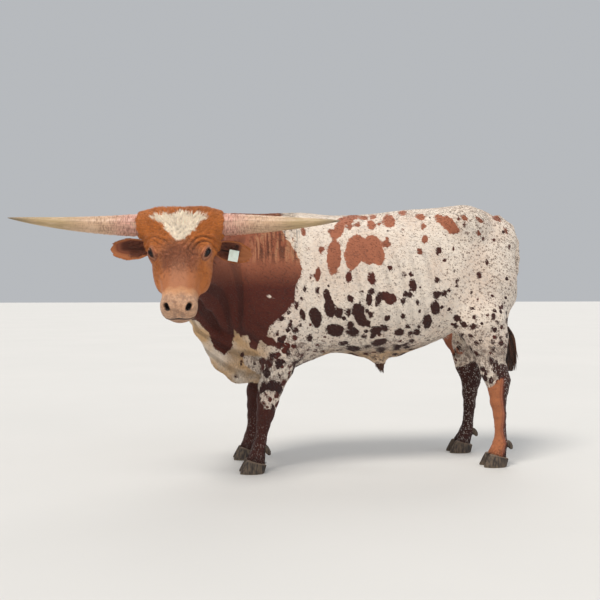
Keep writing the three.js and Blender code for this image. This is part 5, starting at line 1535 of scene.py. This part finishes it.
def dewclaw_mesh(name, side):
    stations = leg_stations(name)
    start = (stations[-2][0], LEGS[name][1] + side * DEWCLAW["side"], DEWCLAW["height"])
    spot = reach(lambda x, y, z: leg_form(name, x, y, z), start, (1, 0, 0))
    rows, columns = 16, 20
    rings, rise = [], []
    c, s = math.cos(-0.5), math.sin(-0.5)
    for i in range(rows):
        angle = math.pi * (i + 0.5) / rows
        wide = math.sin(angle) * (1 + 0.03 * math.sin(i * 2.1))
        ring = []
        for n in range(columns):
            turn = 2 * math.pi * n / columns
            x = DEWCLAW["radius"] * wide * math.cos(turn)
            y = DEWCLAW["radius"] * 0.8 * wide * math.sin(turn)
            z = DEWCLAW["length"] * math.cos(angle)
            ring.append((spot[0] + 5 + x * c + z * s, spot[1] + y, spot[2] - 4 - x * s + z * c))
        rings.append(ring)
        rise.append([1 - i / rows] * columns)
    mesh = tube_mesh("dewclaw", to_row(rings))
    note(mesh, "rise", [*np.ravel(rise), 1, 0])
    return mesh


def hoof_material():
    m = Material("hoof", Specular_IOR_Level=0.4)
    place = m.add("ShaderNodeTexCoord").out("Object")
    rise = m.read("rise")
    streaks = m.noise(place, 120, 4, (1.0, 1.0, 0.12))
    rings = m.noise(place, 90, 3, (0.2, 0.2, 2.2))
    colour = m.blend(streaks.steps(0.35, 0.7), HOOF_DARK, HOOF_HORN)
    colour = m.blend(rise.steps(0.85, 1.0) * 0.6, colour, HOOF_TOP)
    colour = m.blend(rise.steps(0.14, 0.0) * 0.6, colour, HOOF_EDGE)
    m.set(Base_Color=colour, Roughness=0.42 + streaks * 0.3)
    m.bump(rings + streaks * 0.5, 0.0012, 0.7)
    return m.data


# Ear tag
def tag_material():
    m = Material("tag", Specular_IOR_Level=0.5)
    place = m.add("ShaderNodeTexCoord").out("Object")
    scuffs = m.noise(place, 140, 4)
    grime = m.noise(place, 34, 3)
    colour = m.blend(grime.steps(0.45, 0.75) * 0.5, TAG_PALE, TAG_GRIME)
    m.set(Base_Color=colour, Roughness=0.34 + scuffs * 0.3)
    m.bump(scuffs, 0.0003, 0.6)
    return m.data


# Camera, floor and lights: where each lamp stands round the bull, its power, softness and warmth
LAMPS = [
    ("key", -42, 58, 2.3, 22, (1.0, 0.95, 0.88)),
    ("fill", 48, 30, 0.45, 60, (0.93, 0.96, 1.0)),
    ("back", 160, 48, 0.7, 40, (1.0, 0.98, 0.95)),
]
SKY, SKY_STRENGTH = (0.86, 0.89, 0.93, 1), 0.55
# Half the side of the floor, in metres
FLOOR_HALF = 60


def aim(thing, way):
    thing.rotation_mode = "QUATERNION"
    thing.rotation_quaternion = way.to_track_quat("-Z", "Y")


def make_stage():
    camera = bpy.data.cameras.new("camera")
    camera.sensor_width = 36.0
    camera.lens = FOCAL_PIXELS / IMAGE_SIDE * camera.sensor_width
    eye = placed("camera", camera)
    eye.location = to_row(CAMERA_SPOT)
    aim(eye, Vector(SIGHT * math.cos(CAMERA_DIP) - UP * math.sin(CAMERA_DIP)))
    bpy.context.scene.camera = eye
    size = FLOOR_HALF
    corners = [(-size, -size, 0), (size, -size, 0), (size, size, 0), (-size, size, 0)]
    mesh = mesh_from("floor", corners, [(0, 1, 2, 3)])
    floor = placed("floor", mesh)
    m = Material("floor", Roughness=0.8)
    place = m.add("ShaderNodeTexCoord").out("Object")
    m.set(Base_Color=m.blend(m.noise(place, 0.7, 3), FLOOR_DULL, FLOOR_PALE))
    mesh.materials.append(m.data)
    world = bpy.data.worlds.new("world")
    world.use_nodes = True
    background = world.node_tree.nodes["Background"]
    background.inputs["Color"].default_value = SKY
    background.inputs["Strength"].default_value = SKY_STRENGTH
    bpy.context.scene.world = world
    bpy.context.scene.view_settings.view_transform = "Standard"
    for name, turn, rise, power, spread, warmth in LAMPS:
        lamp = bpy.data.lights.new(name, "SUN")
        lamp.energy, lamp.angle, lamp.color = power, math.radians(spread), warmth
        turn, rise = math.radians(turn), math.radians(rise)
        way = Vector((math.sin(turn) * math.cos(rise), -math.cos(turn) * math.cos(rise),
                      math.sin(rise)))
        aim(placed(name, lamp), -way)


# Tufts, each set on the skin by Geometry Nodes and coloured as the skin is at its root

# Width of one lock's patch on the unwrap
PATCH = 0.003
# How deep in the skin a lock is rooted
ROOT_DEPTH = 0.8


def blade_object(name, rows, bend, taper=1.0):
    """A flat tapered lock along X, one long and one wide, bent out of its plane."""
    points, leaves = [], []
    for i in range(rows):
        t = i / rows
        wide = 0.5 * (1 - t ** 1.6) ** taper * (0.55 + 0.45 * min(1.0, t * 4 + 0.4))
        lift = bend(t)
        for across, up in ((-wide, 0.0), (wide, 0.0), (0.0, 1.0 - 0.8 * t)):
            points.append((t, across, lift + 0.05 * up))
            leaves.append((0.5 + across, t, 0))
    points.append((1, 0, bend(1)))
    leaves.append((0.5, 1, 0))
    faces = [(0, 2, 1)]
    for i in range(rows - 1):
        for n in range(3):
            k = (n + 1) % 3
            faces.append((3 * i + n, 3 * i + k, 3 * i + 3 + k, 3 * i + 3 + n))
    tip, last = 3 * rows, 3 * rows - 3
    faces += [(last + n, last + (n + 1) % 3, tip) for n in range(3)]
    mesh = mesh_from(name, points, faces)
    note(mesh, "leaf", leaves, "FLOAT_VECTOR")
    return placed(name, mesh)


def tuft_tree():
    """Sets a lock on every root, turned, sized and mapped by what is written on the root."""
    tree = bpy.data.node_groups.new("tufts", "GeometryNodeTree")
    for name, kind in (("Roots", "Geometry"), ("Lock", "Object"), ("Patch", "Float"),
                       ("Coat", "Material")):
        tree.interface.new_socket(name, in_out="INPUT", socket_type=f"NodeSocket{kind}")
    tree.interface.new_socket("Tufts", in_out="OUTPUT", socket_type="NodeSocketGeometry")

    def add(kind, settings=None, **links):
        node = tree.nodes.new(kind)
        for key, value in (settings or {}).items():
            setattr(node, key, value)
        for key, value in links.items():
            socket = node.inputs[int(key[1:]) if key[1:].isdigit() else key]
            if isinstance(value, bpy.types.NodeSocket):
                tree.links.new(value, socket)
            else:
                socket.default_value = value
        return node

    def read(name):
        return add("GeometryNodeInputNamedAttribute", {"data_type": "FLOAT_VECTOR"},
                   Name=name).outputs["Attribute"]

    given = add("NodeGroupInput").outputs
    lock = add("GeometryNodeObjectInfo", Object=given["Lock"]).outputs["Geometry"]
    turn = add("FunctionNodeAxesToRotation", {"primary_axis": "Z", "secondary_axis": "X"},
               _0=read("rise"), _1=read("lie")).outputs[0]
    set_on = add("GeometryNodeInstanceOnPoints", Points=given["Roots"], Instance=lock,
                 Rotation=turn, Scale=read("size")).outputs[0]
    real = add("GeometryNodeRealizeInstances", Geometry=set_on).outputs[0]
    spread = add("ShaderNodeVectorMath", {"operation": "SCALE"},
                 _0=read("leaf"), Scale=given["Patch"]).outputs[0]
    place = add("ShaderNodeVectorMath", _0=spread, _1=read("place")).outputs[0]
    mapped = add("GeometryNodeStoreNamedAttribute", {"data_type": "FLOAT2", "domain": "CORNER"},
                 Geometry=real, Name="OFBake", Value=place).outputs[0]
    done = add("GeometryNodeSetMaterial", Geometry=mapped, Material=given["Coat"]).outputs[0]
    tree.links.new(done, add("NodeGroupOutput").inputs[0])
    return tree


def grow(name, spots, normals, lie, lift, size, place, lock, nodes=(), shade=None,
         painted=True, dark=None):
    """One piece of coat: a lock on each spot, leaning out of the skin by its lift."""
    mesh = bpy.data.meshes.new(name)
    mesh.from_pydata(to_row(spots).tolist(), [], [])
    flat = unit(lie - normals * (lie * normals).sum(1)[:, None])
    lift = np.asarray(lift)[:, None]
    note(mesh, "lie", unit(flat * np.cos(lift) + normals * np.sin(lift)), "FLOAT_VECTOR")
    note(mesh, "rise", unit(normals * np.cos(lift) - flat * np.sin(lift)), "FLOAT_VECTOR")
    note(mesh, "size", np.asarray(size) * MM, "FLOAT_VECTOR")
    note(mesh, "place", np.column_stack([place, np.zeros(len(spots))]), "FLOAT_VECTOR")
    if painted:
        paint(mesh, spots, normals, shade)
        if dark is not None:
            cover(mesh, "mark", np.full(len(spots), DEEP_IN_MARK))
            cover(mesh, "dark", dark)
            for spare in (*PLAIN_NOTES, "bare_and_shade"):
                cover(mesh, spare, np.zeros(len(spots)))
    else:
        note(mesh, "shade", shade)
        note(mesh, "root", to_row(spots), "FLOAT_VECTOR")
    roots = placed(name + "_roots", mesh)
    worn = coat if painted else long_hair
    step = roots.modifiers.new("tufts", "NODES")
    step.node_group = TUFTS
    given = {item.name: item.identifier for item in TUFTS.interface.items_tree}
    step[given["Lock"]], step[given["Patch"]], step[given["Coat"]] = lock, PATCH, worn
    graph = bpy.context.evaluated_depsgraph_get()
    grown = bpy.data.meshes.new_from_object(roots.evaluated_get(graph), preserve_all_data_layers=True,
                                            depsgraph=graph)
    for spare in ("lie", "rise", "size", "place", "leaf"):
        if spare in grown.attributes:
            grown.attributes.remove(grown.attributes[spare])
    bpy.data.objects.remove(roots)
    grown.name = name
    return piece(name, grown, worn, nodes)


def lie_of(points):
    """The way the coat lies: back and down the trunk, down the legs, and from a whorl on the
    forehead up to the poll and down the face."""
    x, y, z = points.T
    u, v, w = to_head(x, y, z)
    way = np.tile([0.86, 0.0, -0.5], (len(points), 1))
    neck = smooth_step(-120, -330, x)[:, None]
    way = mix(way, np.array([0.66, 0.52, -0.52]), neck)
    legs = smooth_step(640, 520, z)[:, None]
    way = mix(way, np.array([0.16, 0.0, -1.0]), legs)
    rump = smooth_step(1080, 1180, x)[:, None]
    way = mix(way, np.array([0.1, 0.0, -1.0]), rump)
    whorl = np.stack([u - 128, v * 0.75, np.zeros(len(u))], 1)
    whorl = unit(whorl) + np.array([0, 0, -0.1])
    head = by_head(u, v, w, 350, 260, -190)[:, None]
    return np.where(head, whorl @ HEAD_AXES, way)


def turned_about(ways, normals, angles):
    """Each way turned about its normal."""
    c, s = np.cos(angles)[:, None], np.sin(angles)[:, None]
    return ways * c + np.cross(normals, ways) * s


def unwrapped(points, region):
    """Each root's place on an unwrap of the skin: along a limb or the trunk, and round it."""
    x, y, z = points.T
    if region == "head":
        u, v, w = to_head(x, y, z)
        along, around = (u + 150) / 680, np.arctan2(v, w + 60)
    elif region == "legs":
        along, around, offset = z / 820, np.zeros(len(x)), np.zeros(len(x))
        for n, name in enumerate(LEGS):
            stations = np.array(leg_stations(name))[::-1]
            middle = np.interp(z, stations[:, 1], stations[:, 0])
            mine = (np.sign(y) == np.sign(LEGS[name][1])) & ((x > 500) == (n > 1))
            turn = np.arctan2(y - LEGS[name][1], x - middle)
            around = np.where(mine, turn, around)
            offset = np.where(mine, n, offset)
        return np.stack([(offset + 0.03 + 0.93 * (around / math.tau + 0.5)) / 4,
                         np.clip(along, 0, 0.99)], 1)
    elif region == "neck":
        along, around = (x + 950) / 1000, np.arctan2(y + (x + 60) * 0.42 * (x < -60), z - 960)
    else:
        along, around = (x + 500) / 1750, np.arctan2(y, z - 930)
    return np.stack([np.clip(along, 0.003, 0.99), 0.003 + 0.99 * (around / math.tau + 0.5)], 1)


def short_coat(name, region, lock, *, count, seed, wide, lift, weight, length, contrast=0.22):
    """One piece of short coat: how many locks, how wide, how far they lift, where and how long."""
    spots, normals, random = hide.scatter(weight, count, seed)
    x, y, z = spots.T
    u, v, w = to_head(x, y, z)
    ways = turned_about(lie_of(spots), normals, random.normal(0, 0.3, count))
    long = length(x, y, z, u, v, w) * random.uniform(0.7, 1.3, count)
    size = np.stack([long, wide * random.uniform(0.7, 1.3, count), long * 0.8], 1)
    lifts = lift * random.uniform(0.5, 1.4, count)
    shade = random.uniform(-1.1, 0.9, count) * contrast
    if region == "head":
        # The white hair lies flatter and more even, and on the rest the locks get painted light on the
        # ridges of the folds and painted shade in their troughs
        calm = smooth_step(10, -10, polygon_distance(v, u, BLAZE_OUTLINE)) * (w > -60)
        lifts, shade = lifts * (1 - 0.45 * calm), shade * (1 - 0.65 * calm)
        shade = shade + 0.5 * np.clip(relief(x, y, z, u, v, w) / 3, -1, 1) \
            * smooth_step(132, 104, np.abs(v))
    return grow(name, spots - normals * ROOT_DEPTH, normals, ways, lifts, size,
                unwrapped(spots, region), lock, shade=shade)


coat = coat_material("coat")
make_stage()
hide = make_skin(coat)
long_hair = hair_material("long_hair")
TUFTS = tuft_tree()
SHORT_LOCK = blade_object("short_lock", 2, lambda t: 0.10 * math.sin(math.pi * t) - 0.02)
CURLED_LOCK = blade_object(
    "curled_lock", 4, lambda t: 0.2 * math.sin(math.pi * t * 0.9) - 0.1 * t, 0.8)
LONG_LOCK = blade_object(
    "long_lock", 8, lambda t: 0.10 * math.sin(math.pi * t) + 0.02 * math.sin(7 * t), 0.7)


def on_head(x, y, z):
    u, v, w = to_head(x, y, z)
    return (u > -95) & (u < 560) & (np.abs(v) < 215) & (w > -165) & (y < -330)


def head_weight(x, y, z):
    u, v, w = to_head(x, y, z)
    top = 1 + 2.2 * smooth_step(150, 40, u) + 1.5 * bump_at(np.abs(v), 172, 24)
    clear = np.ones(len(x))
    for centre, *_ in EYES.values():
        clear = np.minimum(clear, np.linalg.norm(np.stack([u, v, w], -1) - centre, axis=1) > 28)
    face = smooth_step(372, 330, u)
    short_of_horn = (np.abs(v) < np.where(v > 0, HAIR_END[1], HAIR_END[-1]) - 1) | (u > 80)
    return on_head(x, y, z) * top * clear * face * short_of_horn


def brow_weight(u, v, w):
    """Where the hair between the eyes curls."""
    return smooth_step(280, 200, u) * smooth_step(120, 80, np.abs(v)) * smooth_step(50, 100, u)


def head_length(x, y, z, u, v, w):
    poll = smooth_step(120, 10, u)
    return mix(mix(9, 6, smooth_step(200, 330, u)), 24 - 11 * smooth_step(110, 160, np.abs(v)), poll)


short_coat("coat_poll", "head", CURLED_LOCK, count=8600, seed=11, wide=3.4, lift=0.2, contrast=0.42,
           weight=lambda x, y, z: head_weight(x, y, z) * (to_head(x, y, z)[0] < 110),
           length=head_length)
short_coat("coat_brow", "head", CURLED_LOCK, count=5200, seed=17, wide=2.4, lift=0.24, contrast=0.5,
           weight=lambda x, y, z: head_weight(x, y, z) * brow_weight(*to_head(x, y, z)),
           length=lambda x, y, z, u, v, w: 9.5 + 3 * smooth_step(170, 110, u))
short_coat("coat_face", "head", SHORT_LOCK, count=15000, seed=12, wide=2.2, lift=0.17, contrast=0.32,
           weight=lambda x, y, z: head_weight(x, y, z) * (to_head(x, y, z)[0] > 70),
           length=head_length)
short_coat("coat_neck", "neck", SHORT_LOCK, count=19500, seed=13, wide=3.2, lift=0.08,
           weight=lambda x, y, z: (x < -60) * ~on_head(x, y, z) * (z > 400)
           * (1 + 2 * smooth_step(1220, 1290, z) + 2 * smooth_step(640, 520, z)),
           length=lambda x, y, z, u, v, w: 15 + 7 * smooth_step(1200, 1290, z))
for label, sign, seed in (("left", -1, 14), ("right", 1, 15)):
    short_coat(f"coat_{label}", "trunk", SHORT_LOCK, count=19500, seed=seed, wide=3.2, lift=0.07,
               weight=lambda x, y, z: (x > -80) * (z > 560) * (y * sign > 0)
               * (1 + 1.5 * smooth_step(1260, 1340, z) + 2 * smooth_step(700, 620, z)),
               length=lambda x, y, z, u, v, w: 15 + 6 * smooth_step(700, 620, z))
short_coat("coat_legs", "legs", SHORT_LOCK, count=19500, seed=16, wide=2.8, lift=0.1,
           weight=lambda x, y, z: (z < 620) * (x > -400) * (1 + 3 * smooth_step(120, 80, z)),
           length=lambda x, y, z, u, v, w: 12 + 12 * smooth_step(110, 60, z))


def grow_switch():
    """Long hair of the tail, hung from its last length."""
    random = np.random.default_rng(21)
    count = 1500
    drop = random.random(count) ** 0.8
    z = mix(728, 590, drop)
    turn = random.uniform(0, math.tau, count)
    stations = np.array(TAIL)[::-1]
    middle = np.interp(z, stations[:, 1], stations[:, 0])
    thick = np.interp(z, stations[:, 1], stations[:, 2]) - COAT_BODY + 1
    out = np.stack([np.cos(turn), np.sin(turn) * 0.85, np.zeros(count)], 1)
    spots = np.stack([middle, 0 * z, z], 1) + out * np.maximum(thick, 2)[:, None]
    long = np.minimum(random.uniform(110, 190, count), z - 478)
    down = np.tile([0.16, 0.0, -1.0], (count, 1))
    size = np.stack([long, random.uniform(6, 11, count), long * 0.9], 1)
    place = np.stack([0.02 + 0.95 * turn / math.tau, 0.02 + 0.95 * drop], 1)
    grow("switch_hair", spots, out, down, random.uniform(0.05, 0.34, count) * (1 - 0.5 * drop), size,
         place, LONG_LOCK, nodes=["tail_switch"],
         shade=random.uniform(-0.5, 0.6, count), painted=False)


def grow_brush():
    """Brush of hair at the end of the sheath."""
    random = np.random.default_rng(22)
    count = 420
    turn = random.uniform(0, math.tau, count)
    rise = random.random(count)
    middle = np.stack([mix(446, 436, rise), 0 * rise, mix(520, 552, rise)], 1)
    out = np.stack([np.cos(turn), np.sin(turn), np.full(count, -0.25)], 1)
    spots = middle + out * mix(8, 26, rise)[:, None]
    long = random.uniform(24, 44, count)
    size = np.stack([long, random.uniform(2.5, 4.5, count), long * 0.6], 1)
    place = np.stack([0.02 + 0.95 * turn / math.tau, 0.02 + 0.95 * rise], 1)
    grow("sheath_brush", spots, unit(out), np.tile([0.35, 0.0, -1.0], (count, 1)),
         random.uniform(0.0, 0.2, count), size, place, LONG_LOCK,
         shade=random.uniform(-0.2, 0.9, count), painted=False)


def grow_ear_hair(side):
    """Hair along the rim and in the cup of one ear."""
    random = np.random.default_rng(30 + side)
    count = 1500
    t = random.uniform(0.03, 0.93, count)
    edge = random.choice([-1.0, 1.0], count)
    rim = random.random(count) < 0.72
    t = np.where(rim, t, 0.04 + 0.5 * t)
    share = edge * np.where(rim, random.uniform(0.9, 1.0, count), random.uniform(0.1, 0.9, count))
    way, face, across, _ = ear_axes(side)
    spots, out, lie = [], [], []
    for at, s, outer in zip(t, share, rim):
        spots.append(ear_point(side, at, s * 0.985, EAR["thickness"] * (0.3 if outer else 0.8)))
        out.append(face * 0.9 - across * s * 0.3)
        lie.append(way * 0.9 + across * s * (0.7 if outer else -0.5))
    long = np.where(rim, random.uniform(7, 13, count), random.uniform(12, 26, count))
    size = np.stack([long, random.uniform(1.5, 2.6, count), long * 0.7], 1)
    place = np.stack([0.02 + 0.95 * t, 0.5 + 0.46 * share], 1)
    grow(f"ear_hair_{SIDES[side]}", from_head(spots),
         unit(np.array(out)) @ HEAD_AXES, np.array(lie) @ HEAD_AXES,
         random.uniform(0.1, 0.4, count), size, place, FINE_LOCK,
         shade=random.uniform(-0.6, 0.6, count), dark=np.where(rim, 0.03, 0.42))


def grow_lashes(side):
    """Lashes along the upper lid and a few along the lower."""
    centre, out, along, across = EYES[side]
    random = np.random.default_rng(40 + side)
    count = 110
    upper = random.random(count) < 0.75
    turn = random.uniform(0.25, 2.9, count) * np.where(upper, -side, side)
    ring = along * (np.cos(turn) * (LID["long"] + 1))[:, None] \
        + across * (np.sin(turn) * (LID["high"] + 1.5))[:, None]
    deep = np.sqrt((EYE["radius"] + LID["thick"] - 1.5) ** 2 - (ring ** 2).sum(1))
    spots = centre + ring + out * deep[:, None]
    long = np.where(upper, random.uniform(8, 12, count), random.uniform(4, 6, count))
    size = np.stack([long, random.uniform(0.7, 1.1, count), long * 0.8], 1)
    place = np.stack([0.05 + 0.9 * turn / math.tau % 1, 0.2 + 0.6 * upper], 1)
    grow(f"lashes_{SIDES[side]}", from_head(spots),
         np.tile(out, (count, 1)) @ HEAD_AXES, unit(ring) @ HEAD_AXES,
         random.uniform(0.2, 0.7, count), size, place, FINE_LOCK,
         shade=random.uniform(-0.6, 0.2, count), dark=np.full(count, 0.9))


FINE_LOCK = blade_object("fine_lock", 4, lambda t: 0.16 * math.sin(math.pi * t), 0.8)
grow_switch()
grow_brush()
for side in SIDES:
    grow_ear_hair(side)
    grow_lashes(side)
horns, eyes, hooves = horn_material(), eye_material(), hoof_material()
for side, label in SIDES.items():
    piece(f"horn_{label}_grown", horn_mesh(side), horns, [f"horn_{label}"])
    piece(f"eyeball_{label}", eye_mesh(side), eyes, [f"eye_{label}"])
    piece(f"ear_{label}_skin", ear_mesh(side), coat, [f"ear_{label}"])
for name, (_, middle_y, _, _) in LEGS.items():
    outer = int(np.sign(middle_y))
    for label, side in (("outer", outer), ("inner", -outer)):
        piece(f"claw_{label}_{name}", claw_mesh(name, side), hooves,
              [f"hoof_{label}_{name}"])
        piece(f"toe_{label}_{name}", dewclaw_mesh(name, side), hooves,
              [f"dewclaw_{label}_{name}"])
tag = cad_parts["ear_tag"]
for place in tag.material_slots:
    place.material = tag_material()

for lock in (SHORT_LOCK, CURLED_LOCK, LONG_LOCK, FINE_LOCK):
    bpy.data.objects.remove(lock)
